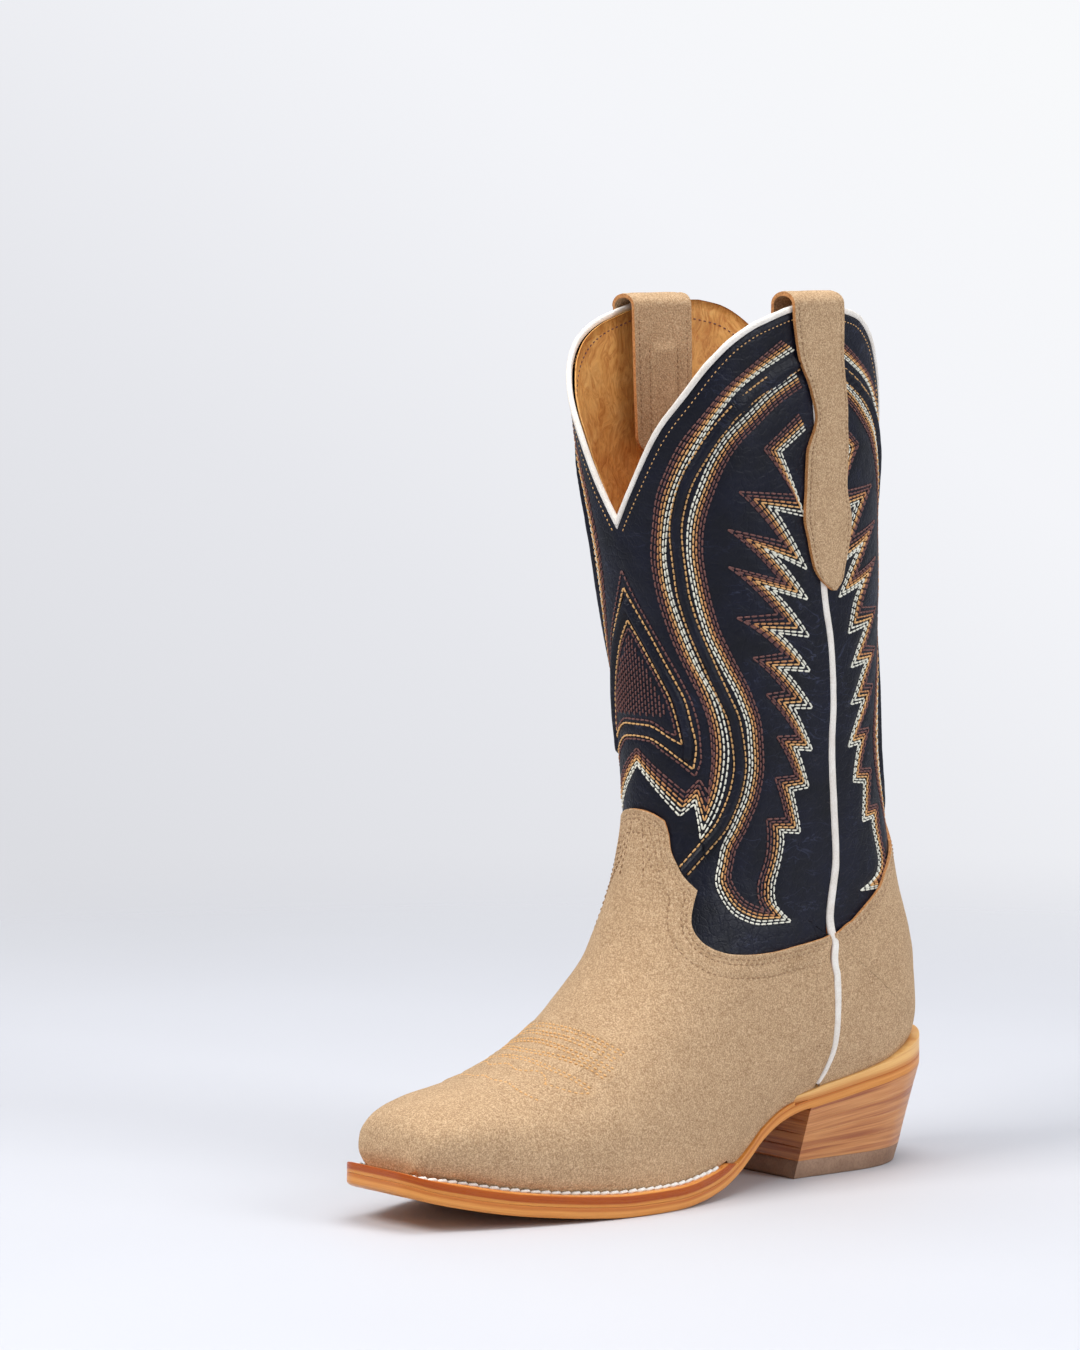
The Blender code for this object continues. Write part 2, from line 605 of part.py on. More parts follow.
def sole_edge(first, last, spacing_side):
    """Outline points (x, station) of one side between two stations."""
    stations = [y for y in SOLE_STATIONS if first < y < last]
    return [(spacing_side * float(half_sole(y, spacing_side)), y)
            for y in [first, *stations, last]]


def sole_point(place, height):
    """Point at an (x, station) place."""
    return np.array([place[0], place[1] - HALF_LENGTH, height])


def edge_strip(name, outline, width_of, low, inner_top, outer_top, finish):
    """U-shaped strip inside an outline of (x, station) points."""
    points = np.array(outline)
    rings = []
    for k, point in enumerate(points):
        run = unit(points[min(k + 1, len(points) - 1)] - points[max(k - 1, 0)])
        inward = np.array([run[1], -run[0]])
        inner = point + inward * width_of(point[1])
        y_out, y_in = point[1], inner[1]
        rings.append([sole_point(inner, low(y_in)), sole_point(point, low(y_out)),
                      sole_point(point, outer_top(y_out)), sole_point(inner, inner_top(y_in))])
    return loft(name, rings, finish)


def heel_level(share, y_top):
    """Height on the heel at a share of the way from the cap to the outsole."""
    bottom = CAP_THICK
    return bottom + share * (float(curve(UNDERSIDE, y_top)) - bottom)


def heel_outline(share, height_at):
    """Ring of points round the heel at a share of its height, from the floor to the outsole."""
    front = HEEL_BREAST_BOTTOM + (HEEL_BREAST_TOP - HEEL_BREAST_BOTTOM) * share
    rear = HEEL_REAR_BOTTOM + (HEEL_REAR_TOP - HEEL_REAR_BOTTOM) * share ** 1.2
    taper = HEEL_TAPER + (1 - HEEL_TAPER) * share
    points = []
    for side in (1, -1):
        row = []
        for y_top in HEEL_STATIONS:
            along = (y_top - HEEL_BREAST_TOP) / (HEEL_REAR_TOP - HEEL_BREAST_TOP)
            y = front + along * (rear - front)
            row.append(sole_point((side * float(half_sole(y_top, side)) * taper, y),
                                  height_at(y_top)))
        points.append(row)
    return points[0] + points[1][::-1]


def share_above_cap(share):
    """Share of the heel's height at a share of its lifts' height."""
    cap_share = CAP_THICK / HEEL_REAR_HEIGHT
    return cap_share + (1 - cap_share) * share


def make_heel_cap():
    """The rubber cap, flat on the floor."""
    bottom = heel_outline(0, lambda y: 0.0)
    top = heel_outline(share_above_cap(0), lambda y: CAP_THICK)
    return loft("heel_cap", [bottom, top], "rubber")


def make_heel_lift(name, low_share, high_share):
    """One leather lift between two shares of the way from the cap to the outsole."""
    top_gap = GAP if high_share >= 1 else 0
    bottom = heel_outline(share_above_cap(low_share), lambda y: heel_level(low_share, y) + GAP)
    top = heel_outline(share_above_cap(high_share), lambda y: heel_level(high_share, y) - top_gap)
    return loft(name, [bottom, top], "heel")


def make_nails():
    """Five nails from the insole down into the heel, and the cutter for their holes."""
    work = bmesh.new()
    for k, (x, y) in enumerate(NAIL_PLACES):
        top = float(insole_bottom(y)) + 0.5
        for name, radius, low, high in ((f"heel_nail_{k + 1}", NAIL_RADIUS, NAIL_TIP, top),
                                        (None, NAIL_HOLE_RADIUS, NAIL_TIP - GAP, top + GAP)):
            target = bmesh.new() if name else work
            made = bmesh.ops.create_cone(target, cap_ends=True, segments=6, radius1=radius * MM,
                                         radius2=radius * MM, depth=(high - low) * MM)
            bmesh.ops.translate(target, verts=made["verts"],
                                vec=(x * MM, (y - HALF_LENGTH) * MM, (low + high) / 2 * MM))
            if name:
                mesh = bpy.data.meshes.new(name)
                target.to_mesh(mesh)
                target.free()
                add_object(name, mesh, "steel")
    mesh = bpy.data.meshes.new("nail_holes")
    work.to_mesh(mesh)
    work.free()
    return add_object("nail_holes", mesh, None)


def stations_between(first, last):
    return [first, *[y for y in SOLE_STATIONS if first < y < last], last]


def feather_height(y):
    return float(curve(FEATHER, y))


def rand_height(y):
    return feather_height(y) - float(curve(LEDGE_DROP, y))


def strip_low(y):
    return float(outsole_top(y)) + GAP


def strip_width(y):
    return float(curve(WELT_WIDTH, y)) + 3.2


def half_insole(y, side):
    return half_feather(y, side) - 4.2


def make_bottom():
    holes = make_nails()
    outsole = slab("outsole", SOLE_STATIONS, half_sole, lambda y: curve(UNDERSIDE, y),
                   outsole_top, "sole", SOLE_BEVEL)
    cut(outsole, holes)

    welt_line = sole_edge(0, WAIST_RAND - 1, 1)[::-1] + [(6, 0), (-8, 0)]
    welt_line += sole_edge(0, WAIST_RAND - 1, -1)
    edge_strip("welt", welt_line, strip_width, strip_low, feather_height, feather_height, "welt")
    rand_line = sole_edge(WAIST_RAND, 301.4, -1) + sole_edge(WAIST_RAND, 301.4, 1)[::-1]
    edge_strip("heel_rand", rand_line, strip_width, strip_low, feather_height, rand_height, "welt")

    insole = slab("insole", stations_between(14, 279), half_insole, insole_bottom,
                  lambda y: curve(FEATHER, y), "board")
    cut(insole, holes)
    slab("sock_liner", stations_between(17, 276), lambda y, side: half_feather(y, side) - 6,
         lambda y: curve(FEATHER, y) + GAP, lambda y: curve(FEATHER, y) + GAP + 1.0, "lining")
    slab("cork_filler", stations_between(17, 148), lambda y, side: half_insole(y, side) - 1,
         lambda y: outsole_top(y) + GAP, lambda y: insole_bottom(y) - GAP, "cork")
    slab("shank", stations_between(157, 254), lambda y, side: 7.0 + 0 * y,
         lambda y: outsole_top(y) + GAP, lambda y: outsole_top(y) + GAP + SHANK_THICK, "steel")

    make_heel_cap()
    for k in range(LIFT_COUNT):
        lift = make_heel_lift(f"heel_lift_{k + 1}", k / LIFT_COUNT, (k + 1) / LIFT_COUNT)
        cut(lift, holes)


make_uppers()
for side_name, side_sign in (("lateral", 1), ("medial", -1)):
    make_side_piping("side_piping_" + side_name, side_sign)
    make_pull_strap("pull_strap_" + side_name, side_sign)
make_top_binding("front_top_binding", True)
make_top_binding("back_top_binding", False)
make_bottom()
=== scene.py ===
"""Looks of the cowboy boot: fine surfaces, threads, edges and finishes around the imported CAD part.

Lengths are millimetres until a mesh is made.  Every upper lies on the same last as the CAD part:
a ring number u (0 toe tip, 12 heel point, 19 top of the shaft) and a place s (0 front centre line,
1 widest point, 2 sole or back centre line) give a point of its skin.  The embroidery is drawn on
the flat pattern of the shaft: girth g from the front centre line, and height z.
"""

import math

import bmesh
import bpy
import numpy as np
from mathutils import Matrix, Vector
from mathutils.kdtree import KDTree


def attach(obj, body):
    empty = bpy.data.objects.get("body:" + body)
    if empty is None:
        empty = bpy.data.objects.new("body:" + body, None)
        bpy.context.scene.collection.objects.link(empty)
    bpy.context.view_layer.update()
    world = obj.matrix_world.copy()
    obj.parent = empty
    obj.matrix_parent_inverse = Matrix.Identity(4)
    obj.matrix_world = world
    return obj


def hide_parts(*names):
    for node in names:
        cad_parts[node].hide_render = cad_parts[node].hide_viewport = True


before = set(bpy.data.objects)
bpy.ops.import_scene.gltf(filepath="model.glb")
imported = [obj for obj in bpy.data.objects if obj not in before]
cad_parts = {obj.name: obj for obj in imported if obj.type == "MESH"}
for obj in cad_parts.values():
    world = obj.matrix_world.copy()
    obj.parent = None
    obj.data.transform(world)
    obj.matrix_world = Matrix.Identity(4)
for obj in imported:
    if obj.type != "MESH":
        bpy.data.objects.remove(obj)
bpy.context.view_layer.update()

MM = 0.001
RANDOM = np.random.default_rng(11)

# ---------------------------------------------------------------- sizes shared with the CAD part
SOLE_LENGTH = 302.0
HALF_LENGTH = SOLE_LENGTH / 2
TOE_FEATHER, HEEL_FEATHER = 7.5, 293.0     # where the upper meets the sole, front and back
OUTSOLE_THICK, OUTSOLE_THICK_WAIST = 4.9, 4.2
CAP_THICK = 8.0
HEEL_HEIGHT = 32.0                         # of the heel at its breast, with the cap
LIFT_COUNT = 4
HEEL_BREAST_TOP, HEEL_BREAST_BOTTOM = 214.5, 209.5
HEEL_REAR_TOP, HEEL_REAR_BOTTOM = 301.4, 288.0
HEEL_TAPER = 0.84                          # width of the heel at the floor over that at its top
WELT_END = 160.0                           # station where the stitched welt ends
WELT_FADE = 9.0                            # length over which it becomes the waist's low strip
WAIST_STRIP = 1.5                          # height of that strip
WAIST_RAND = 206.0                         # station where the strip ends and the heel rand starts
SHAFT_OFFSET, LINING_OFFSET, SUEDE_OFFSET = 0.0, -2.65, 2.0     # seen faces over the last
SUEDE_THICK, SHAFT_THICK, LINING_THICK = 1.35, 1.2, 0.6
UPPER_LIFT = 1.8                           # the last's lower edge over the welt
FOOT_SINK = 1.3                            # how far the foot of the last lies inside its outline
LAP = 0.6                                  # overlap of vamp and counter on the shaft, in rings
LINING_JOIN = 0.3                          # of the front lining's lower edge over LINING_EDGE
SEAM_HALF_SLOT = 0.012                     # half the side seam's slot, in places

# (station, half width) of the sole
LATERAL = [(0, 16), (2, 20.5), (7, 24), (15, 27.8), (30, 34), (50, 41), (70, 47), (90, 51),
           (110, 52.5), (130, 50.5), (150, 45.5), (170, 39.5), (190, 35), (205, 33.2), (220, 33),
           (240, 34), (258, 34.5), (272, 32.5), (284, 27), (293, 19), (299, 9.5), (302, 0)]
MEDIAL = [(0, 19), (2, 23.5), (7, 26.5), (15, 29.5), (30, 35), (50, 41), (70, 45.5), (90, 48),
          (105, 48.5), (120, 47), (140, 41), (160, 34.5), (180, 30.5), (200, 29.5), (220, 30.5),
          (240, 32.5), (258, 33.5), (272, 32), (284, 27), (293, 19), (299, 9.5), (302, 0)]
# (station, height): the outsole's underside, and where the upper meets the welt or rand
UNDERSIDE = [(0, 16), (8, 13), (20, 9.8), (43, 5.2), (60, 3), (82, 0.9), (98, 0), (122, 0),
             (141, 1.6), (155, 4.4), (165, 8.2), (175, 14.2), (184, 20.6), (197, 27), (210, 30.6),
             (222, 32.4), (244, 36), (269, 40), (302, 45)]
FEATHER = [(0, 25.6), (8, 22.6), (22, 19.6), (47, 14.6), (72, 11.6), (98, 10), (122, 10),
           (141, 11.9), (155, 14.2), (165, 17.4), (175, 22.4), (184, 28.2), (197, 34.4),
           (210, 38.2), (220, 40.4), (240, 43.8), (258, 47), (275, 50.5), (293, 53.5), (302, 54.5)]
WELT_WIDTH = [(0, 7.5), (30, 6.5), (110, 5.5), (150, 3.5), (185, 1.5), (230, 1.5), (260, 3),
              (285, 6.5), (302, 9)]
# height of the heel rand's edge over the line where the upper meets the sole
LEDGE_RISE = [(0, 0), (210, 0), (240, 0.2), (270, 1.4), (302, 3.6)]

# front point (station, height), back point (station, height or None on the sole), half widths
# lateral and medial, place of the widest point along the section, squareness of the front
SECTIONS = [
    (7.5, 24.0, 7.6, None, 13.0, 15.5, .50, -.20),
    (6.0, 32.0, 11.0, None, 18.0, 21.5, .47, -.25),
    (8.0, 40.5, 17.0, None, 23.0, 26.0, .42, -.30),
    (15, 47.0, 27.0, None, 28.5, 31.0, .38, -.30),
    (32, 52.3, 42.0, None, 35.0, 36.0, .35, -.24),
    (56, 56.9, 62.0, None, 42.5, 41.0, .32, -.14),
    (79, 64.7, 84.0, None, 47.0, 44.5, .30, -.06),
    (100, 77.2, 110, None, 48.0, 46.0, .29, -.04),
    (117, 93.2, 140, None, 46.0, 44.5, .30, -.06),
    (130, 111.7, 175, None, 43.0, 41.5, .32, -.10),
    (138, 131.7, 220, None, 41.0, 41.0, .36, -.15),
    (142, 149.7, 270, None, 40.5, 40.5, .39, -.18),
    (143.5, 160.7, 293, None, 40.5, 40.5, .40, -.20),
    (143.5, 170.7, 295, 64, 41.0, 41.0, .42, -.20),
    (143, 187.7, 292.5, 88, 42.0, 42.5, .44, -.18),
    (141, 212.7, 281, 123, 44.0, 44.0, .46, -.14),
    (138, 242.7, 272.5, 168, 46.5, 46.5, .48, -.12),
    (132.5, 277.7, 270, 223, 48.0, 48.5, .50, -.18),
    (126, 328, 270, 298, 49.5, 50.0, .52, -.42),
    (120, 382, 271, 382, 51.0, 51.5, .55, -.58),
]
HEEL_RING, TOP_RING = 12.0, 19.0

# (place, ring) runs of the vamp's top edge: each is a smooth curve, and they meet in corners
VAMP_RUNS = [[(0, 12.47), (.05, 12.47), (.11, 12.43), (.18, 12.28)],
             [(.18, 12.28), (.2, 11.86), (.23, 11.2), (.27, 10.9), (.32, 10.68), (.36, 10.61),
              (.40, 10.57)],
             [(.40, 10.57), (.407, 10.3), (.42, 10.06), (.44, 9.9), (.48, 9.81), (.52, 9.79),
              (.57, 9.83), (.63, 9.94), (.7, 10.17), (.79, 10.61), (.84, 11.05), (.87, 11.5),
              (.895, 12.12)]]
# (place, ring) down the side seam on the foot, and the width of the suede's gap for its piping
SEAM_FOOT = [(.895, 12.2), (.925, 11.5), (.99, 11.1), (1.11, 10.79), (1.22, 10.63), (1.33, 10.5),
             (1.47, 10.37), (1.6, 10.25), (1.74, 10.13), (1.88, 10.03), (2, 9.96)]
PIPING_SLOT = 1.3
COUNTER_EDGE = [(.88, 12.1), (.91, 12.34), (.97, 13.04), (1.02, 13.4), (1.08, 13.72),
                (1.15, 14.05), (1.23, 14.36), (1.32, 14.67), (1.41, 14.92), (1.51, 15.16),
                (1.7, 15.5), (1.85, 15.8), (2, 15.85)]
LINING_EDGE = [(0, 11.2), (.3, 9.8), (.55, 9.0), (.8, 9.6), (.91, 10.4)]
# (ring, place): the side seam up the shaft
SEAM_SHAFT = [(11, .99), (12.2, .895), (12.9, .9), (14.03, .95), (14.92, 1), (15.75, 1.04),
              (16.34, 1.08), (16.82, 1.09), (17.18, 1.06), (19, 1.06)]
# (place, ring): the deep V at the front, the ears at the sides, the shallower V behind
TOP_LINE = [(0, 17.2), (.12, 17.56), (.27, 18.05), (.38, 18.3), (.51, 18.56), (.65, 18.75),
            (.8, 18.87), (1.06, 18.97), (1.3, 18.92), (1.44, 18.8), (1.57, 18.55), (1.7, 18.25),
            (1.85, 17.9), (2, 17.6)]

# (height, station of the middle, half width) of the pull strap outside the shaft
STRAP_OUTSIDE = [(259, 211.5, 1.0), (263, 210.5, 6.0), (270, 209, 9.6), (280, 209, 12.6),
                 (290, 208, 14.4), (304, 206.5, 12.6), (318, 207, 12.8), (333, 209, 10.0),
                 (345, 206.5, 11.0), (360, 202, 13.0), (382, 200, 13.6)]
STRAP_INSIDE_END = 316.0                   # height of its end inside the shaft
STRAP_THICK = 2.0
STRAP_OUTER_OFFSET = 2.6                   # of its outer face over the shaft, low down
STRAP_TOP_OUTSIDE, STRAP_TOP_INSIDE = 3.5, -12.0      # and at the loop, outside and inside
STRAP_SHAFT_TOP, STRAP_LOOP_HEIGHT, STRAP_ARCH = 381.5, 382.0, 5.6
# by side: how far the loop moves towards the heel, is wider to each side, and is raised
STRAP_LEAN = {1: (-1.0, 1.6, 0), -1: (-8.0, 3.2, -2.2)}


def curve(pairs, at):
    """Smooth curve through (place, value) pairs that never overshoots them."""
    x, y = np.asarray(pairs, float).T
    step = np.diff(x)
    slope = np.diff(y) / step
    tangent = np.empty(len(x))
    tangent[0], tangent[-1] = slope[0], slope[-1]
    w1 = 2 * step[1:] + step[:-1]
    w2 = step[1:] + 2 * step[:-1]
    with np.errstate(divide="ignore", invalid="ignore"):
        mean = (w1 + w2) / (w1 / slope[:-1] + w2 / slope[1:])
    tangent[1:-1] = np.where(slope[:-1] * slope[1:] > 0, mean, 0.0)
    a = np.clip(at, x[0], x[-1])
    i = np.clip(np.searchsorted(x, a) - 1, 0, len(step) - 1)
    h = step[i]
    t = (a - x[i]) / h
    return ((1 + 2 * t) * (1 - t) ** 2 * y[i] + t * (1 - t) ** 2 * h * tangent[i]
            + t * t * (3 - 2 * t) * y[i + 1] + t * t * (t - 1) * h * tangent[i + 1])


def bell(distance, width):
    """1 at no distance, fading out over about the width."""
    return np.exp(-(distance / width) ** 2)


def rounded(line, times):
    """Softens a line's corners a little, more often for a softer line."""
    for _ in range(times):
        line[1:-1] = (line[:-2] + 2 * line[1:-1] + line[2:]) / 4
    return line


def straight(pairs, at):
    """Straight runs between (place, value) pairs, for an outline with corners."""
    x, y = np.asarray(pairs, float).T
    return np.interp(at, x, y)


def half_sole(y, side):
    """Half width of the sole at station y."""
    return curve(LATERAL if side > 0 else MEDIAL, y)


def half_feather(y, side):
    """Half width of the line where the upper meets the sole; it closes at both ends."""
    y = np.clip(np.asarray(y, float), TOE_FEATHER, HEEL_FEATHER)
    along = (y - TOE_FEATHER) / (HEEL_FEATHER - TOE_FEATHER) * SOLE_LENGTH
    inset = half_sole(y, side) - curve(WELT_WIDTH, y)
    scaled = half_sole(along, side) * np.where(along < 60, 0.80, 0.86)
    near_end = np.clip(curve([(0, 1), (40, 0)], along) + curve([(262, 0), (302, 1)], along), 0, 1)
    return scaled * near_end + inset * (1 - near_end)


def outsole_top(y):
    """Height of the outsole's upper face."""
    waist = curve([(130, 0), (165, 1)], y)
    return curve(UNDERSIDE, y) + OUTSOLE_THICK * (1 - waist) + OUTSOLE_THICK_WAIST * waist


# ---------------------------------------------------------------- the last as a surface
SECTION_TABLE = np.array([[np.nan if v is None else v for v in row] for row in SECTIONS], float)
ON_SOLE = np.isnan(SECTION_TABLE[:, 3])
SECTION_TABLE[ON_SOLE, 3] = curve(FEATHER, SECTION_TABLE[ON_SOLE, 2])


def section(u):
    """Row of SECTIONS at ring u, with the upper's lower edge standing over the welt."""
    rings = np.arange(len(SECTION_TABLE))
    front_y, front_z, back_y, back_z, lateral, medial, widest, square = (
        curve(np.stack([rings, column], 1), u) for column in SECTION_TABLE.T)
    back_z = np.where(u <= HEEL_RING, curve(FEATHER, back_y) + UPPER_LIFT, back_z)
    return front_y, front_z, back_y, back_z, lateral, medial, widest, square


def lower_end(u):
    """Angle where the lower half of a section ends: under the foot it meets the sole earlier."""
    return np.radians(60 + 30 * np.clip((u - 10.5) / 1.5, 0, 1))


def last_point(u, s, side):
    """Point of the last's outline at ring u and place s, on the lateral (1) or medial (-1) side."""
    front_y, front_z, back_y, back_z, lateral, medial, widest, square = section(u)
    edge = np.where(u <= HEEL_RING, half_feather(back_y, side), 0.0)
    width = np.maximum(lateral if side > 0 else medial, edge + 0.3 * (u <= HEEL_RING))
    end = lower_end(u)
    upper = np.clip(s, 0, 1) * np.pi / 2
    lower = np.clip(s - 1, 0, 1) * end
    x_upper = width * np.sin(upper) * (1 - square * np.cos(upper) ** 2)
    x_lower = edge + (width - edge) * (np.cos(lower) - np.cos(end)) / (1 - np.cos(end))
    t_upper = widest + (1 - widest) * np.cos(upper)
    t_lower = widest * (1 - np.sin(lower) / np.sin(end))
    x = np.where(s <= 1, x_upper, x_lower)
    t = np.where(s <= 1, t_upper, t_lower)
    y = back_y + t * (front_y - back_y)
    z = back_z + t * (front_z - back_z)
    return np.stack([side * x, y - HALF_LENGTH, z], -1)


def skin(u, s, side, offset=0.0):
    """Point of the last's skin moved out along its normal."""
    u, s = np.broadcast_arrays(np.asarray(u, float), np.asarray(s, float))
    reach = 0.02 + 0.13 * np.clip(1.5 - np.abs(u - HEEL_RING) / 0.1, 0, 1)
    u0, u1 = np.clip(u - reach, 0, TOP_RING), np.clip(u + reach, 0, TOP_RING)
    s0, s1 = np.clip(s - 0.01, 0, 2), np.clip(s + 0.01, 0, 2)
    along = last_point(u1, s, side) - last_point(u0, s, side)
    across = last_point(u, s1, side) - last_point(u, s0, side)
    normal = np.cross(across, along) * side
    centre = (s <= 0) | ((s >= 2) & (u > HEEL_RING - 0.01))
    normal[..., 0] = np.where(centre, 0.0, normal[..., 0])
    normal /= np.linalg.norm(normal, axis=-1, keepdims=True)
    sink = FOOT_SINK * np.clip((14 - u) / 5, 0, 1)
    return last_point(u, s, side) + normal * (np.asarray(offset, float) - sink)[..., None]


def locate(station, height):
    """Rings and places of the skin at stations and heights, seen from the side."""
    station, height = np.broadcast_arrays(np.asarray(station, float), np.asarray(height, float))
    low, high = np.zeros(station.shape), np.full(station.shape, TOP_RING)
    for _ in range(32):                      # halves the range of rings each time
        u = (low + high) / 2
        front_y, front_z, back_y, back_z, _, _, widest, _ = section(u)
        t = (station - back_y) / (front_y - back_y)
        below = back_z + t * (front_z - back_z) < height
        low, high = np.where(below, u, low), np.where(below, high, u)
    t = np.clip(t, 0, 1)
    end = lower_end(u)
    front = np.arccos(np.clip((t - widest) / (1 - widest), 0, 1)) / (np.pi / 2)
    back = 1 + np.arcsin(np.clip(1 - t / widest, 0, 1) * np.sin(end)) / end
    return u, np.where(t > widest, front, back)


# ---------------------------------------------------------------- the shaft's flat pattern
HEIGHTS = np.arange(96.0, 392.0, 4.0)
PLACES = np.linspace(0, 2, 161)


def ring_at(s, z, side=1):
    """Ring whose skin has height z at place s on the shaft."""
    s, z = np.broadcast_arrays(np.asarray(s, float), np.asarray(z, float))
    low, high = np.full(s.shape, 9.0), np.full(s.shape, TOP_RING)
    for _ in range(26):
        u = (low + high) / 2
        below = last_point(u, s, side)[..., 2] < z
        low, high = np.where(below, u, low), np.where(below, high, u)
    return (low + high) / 2


def girth_table():
    """Girth from the front centre line at each height and place."""
    s, z = np.meshgrid(PLACES, HEIGHTS)
    points = skin(ring_at(s, z), s, 1)
    steps = np.linalg.norm(np.diff(points, axis=1), axis=-1)
    return np.concatenate([np.zeros((len(HEIGHTS), 1)), np.cumsum(steps, 1)], 1)


GIRTH = girth_table()


def height_rows(z):
    """Row of the girth table below each height, and the share of the way to the next."""
    row = np.clip((np.asarray(z, float) - HEIGHTS[0]) / (HEIGHTS[1] - HEIGHTS[0]), 0,
                  len(HEIGHTS) - 1.001)
    return row.astype(int), row % 1


def girth_of(s, z):
    """Girth at places and heights."""
    row, share = height_rows(z)
    column = np.clip(np.asarray(s, float) / PLACES[1], 0, len(PLACES) - 1.001)
    k, t = column.astype(int), column % 1
    low = GIRTH[row, k] * (1 - t) + GIRTH[row, k + 1] * t
    high = GIRTH[row + 1, k] * (1 - t) + GIRTH[row + 1, k + 1] * t
    return low * (1 - share) + high * share


def seam_girth(z):
    """Girth of the side seam at heights."""
    s = np.ones(np.shape(z))
    for _ in range(4):
        s = curve(SEAM_SHAFT, ring_at(s, z))
    return girth_of(s, z)


SEAM_GIRTH = seam_girth(HEIGHTS)


def on_shaft(g, z):
    """Rings and places of points of the flat pattern."""
    g, z = np.broadcast_arrays(np.asarray(g, float), np.asarray(z, float))
    row, share = height_rows(z)
    s = np.empty(g.shape)
    for k in np.unique(row):
        here = row == k
        low = np.interp(g[here], GIRTH[k], PLACES)
        high = np.interp(g[here], GIRTH[k + 1], PLACES)
        s[here] = low * (1 - share[here]) + high * share[here]
    return ring_at(s, z), s


# ---------------------------------------------------------------- outlines of the panels
def unit(vectors):
    """Vectors scaled to length 1."""
    return vectors / np.maximum(np.linalg.norm(vectors, axis=-1, keepdims=True), 1e-9)


def inset_line(outline, places, side, distance):
    """(ring, place) points on the skin at a distance below an outline.

    The points step down along the skin a quarter of the way at a time, and those that end up
    closer to the outline than they should, at its corners, are left out.
    """
    u, s = outline(places), places.copy()
    step = 0.01
    edge = skin(u, s, side)
    run = unit(np.gradient(edge, axis=0))
    for _ in range(4):
        along = (skin(u + step, s, side) - skin(u - step, s, side)) / (2 * step)
        across = (skin(u, np.clip(s + step, 0, 2), side) - skin(u, np.clip(s - step, 0, 2), side))
        across /= (np.clip(s + step, 0, 2) - np.clip(s - step, 0, 2))[:, None]
        normal = unit(np.cross(across, along))
        down = unit(np.cross(normal, run))
        down *= np.sign(np.median(np.sum(down * -along, 1)))
        aa, ab, bb = np.sum(along ** 2, 1), np.sum(along * across, 1), np.sum(across ** 2, 1)
        pa, pb = np.sum(along * down, 1), np.sum(across * down, 1)
        det = aa * bb - ab ** 2
        u = u + distance / 4 * (pa * bb - pb * ab) / det
        s = np.clip(s + distance / 4 * (pb * aa - pa * ab) / det, 0, 2)
    moved = skin(u, s, side)
    gap = np.linalg.norm(moved[:, None] - edge[None], axis=2).min(1)
    keep = gap > 0.93 * abs(distance)
    return np.stack([u[keep], s[keep]], 1)


def seam_foot(s):
    """Ring of the side seam on the foot at places."""
    return curve(SEAM_FOOT, s)


def beside_seam(distance):
    """(place, ring) pairs of a line beside the side seam on the foot."""
    places = np.linspace(SEAM_FOOT[0][0], 2, 400)
    line = inset_line(seam_foot, places, 1, distance)
    return line[np.argsort(line[:, 1])][:, ::-1]


VAMP_REAR = beside_seam(PIPING_SLOT)
COUNTER_FRONT = beside_seam(-PIPING_SLOT)


def vamp_top(s):
    """Ring of the vamp's upper and rear edge at places."""
    s = np.asarray(s, float)
    result = curve(VAMP_RUNS[0], s)
    for run in VAMP_RUNS[1:]:
        result = np.where(s >= run[0][0], curve(run, s), result)
    return np.where(s >= VAMP_RUNS[-1][-1][0], straight(VAMP_REAR, s), result)


def counter_front(s):
    """Ring of the counter's edge along the side seam."""
    return straight(COUNTER_FRONT, s)


def counter_top(s):
    """Ring of the counter's upper edge at places."""
    return curve(COUNTER_EDGE, s)


def top_line(s):
    """Ring of the scalloped top edge at places."""
    return curve(TOP_LINE, s)


# ---------------------------------------------------------------- embroidery on the flat pattern
ROW_THREADS = ["brown", "brown", "tan", "gold", "cream", "cream"]    # across a band of rows
ROWS = len(ROW_THREADS)
ROW_STEP, STITCH, SHORT_STITCH = 1.27, 3.25, 2.6
CORD_HALF, CORD_HIGH = 2.0, 1.5            # raised cord under the leather
CORD_STITCHES = 2.6                        # distance of the stitches beside it
# Points (girth, height) of half the front panel.  The other half and the back panel mirror it.
OUTER_DARK = [(91, 367), (73.6, 357), (58.6, 347), (46.6, 335), (35.8, 323), (28.6, 311.5),
              (23.2, 301), (19.6, 287), (17.2, 274), (17.8, 260), (20.8, 244), (26.8, 227),
              (32.8, 212), (35.2, 200), (35.2, 189), (33.4, 177), (32.8, 173)]
OUTER_CREAM = [(97.6, 363), (81.4, 356), (65.2, 347), (52, 334), (42.4, 321), (34, 307.5),
               (28.6, 295.5), (25.6, 285), (23.8, 274), (24.4, 260), (26.8, 247), (33.4, 226),
               (40.6, 208.5), (42.4, 193), (40.6, 179), (36.4, 166), (29.2, 153)]
RIDGE = [(98.8, 357), (80.2, 348.5), (64, 339), (52.6, 328.5), (44.2, 318), (37.6, 308.5),
         (33.4, 299.5), (29.8, 287), (29.2, 280), (29.2, 261), (30.4, 251), (37, 228.5),
         (41.8, 215.5), (46, 203), (47.2, 186), (45.4, 175.5), (41.8, 166), (37.6, 158),
         (31.6, 150), (23.8, 139.5)]
INNER_CREAM = [(97, 353), (80.8, 345), (67, 335.5), (56.8, 327.5), (48.4, 317), (42.4, 306),
               (37, 294), (34.6, 285), (33.4, 274), (34, 260), (36.4, 243.5), (41.8, 228.5),
               (48.4, 213), (51.4, 200), (51.4, 187), (49, 173), (43.6, 160.5), (38.8, 147.5),
               (38.8, 137), (44.2, 127.5), (55.6, 119), (68.8, 115.5), (83.8, 115.5)]
HOOK_DARK_TIP = (67, 121)
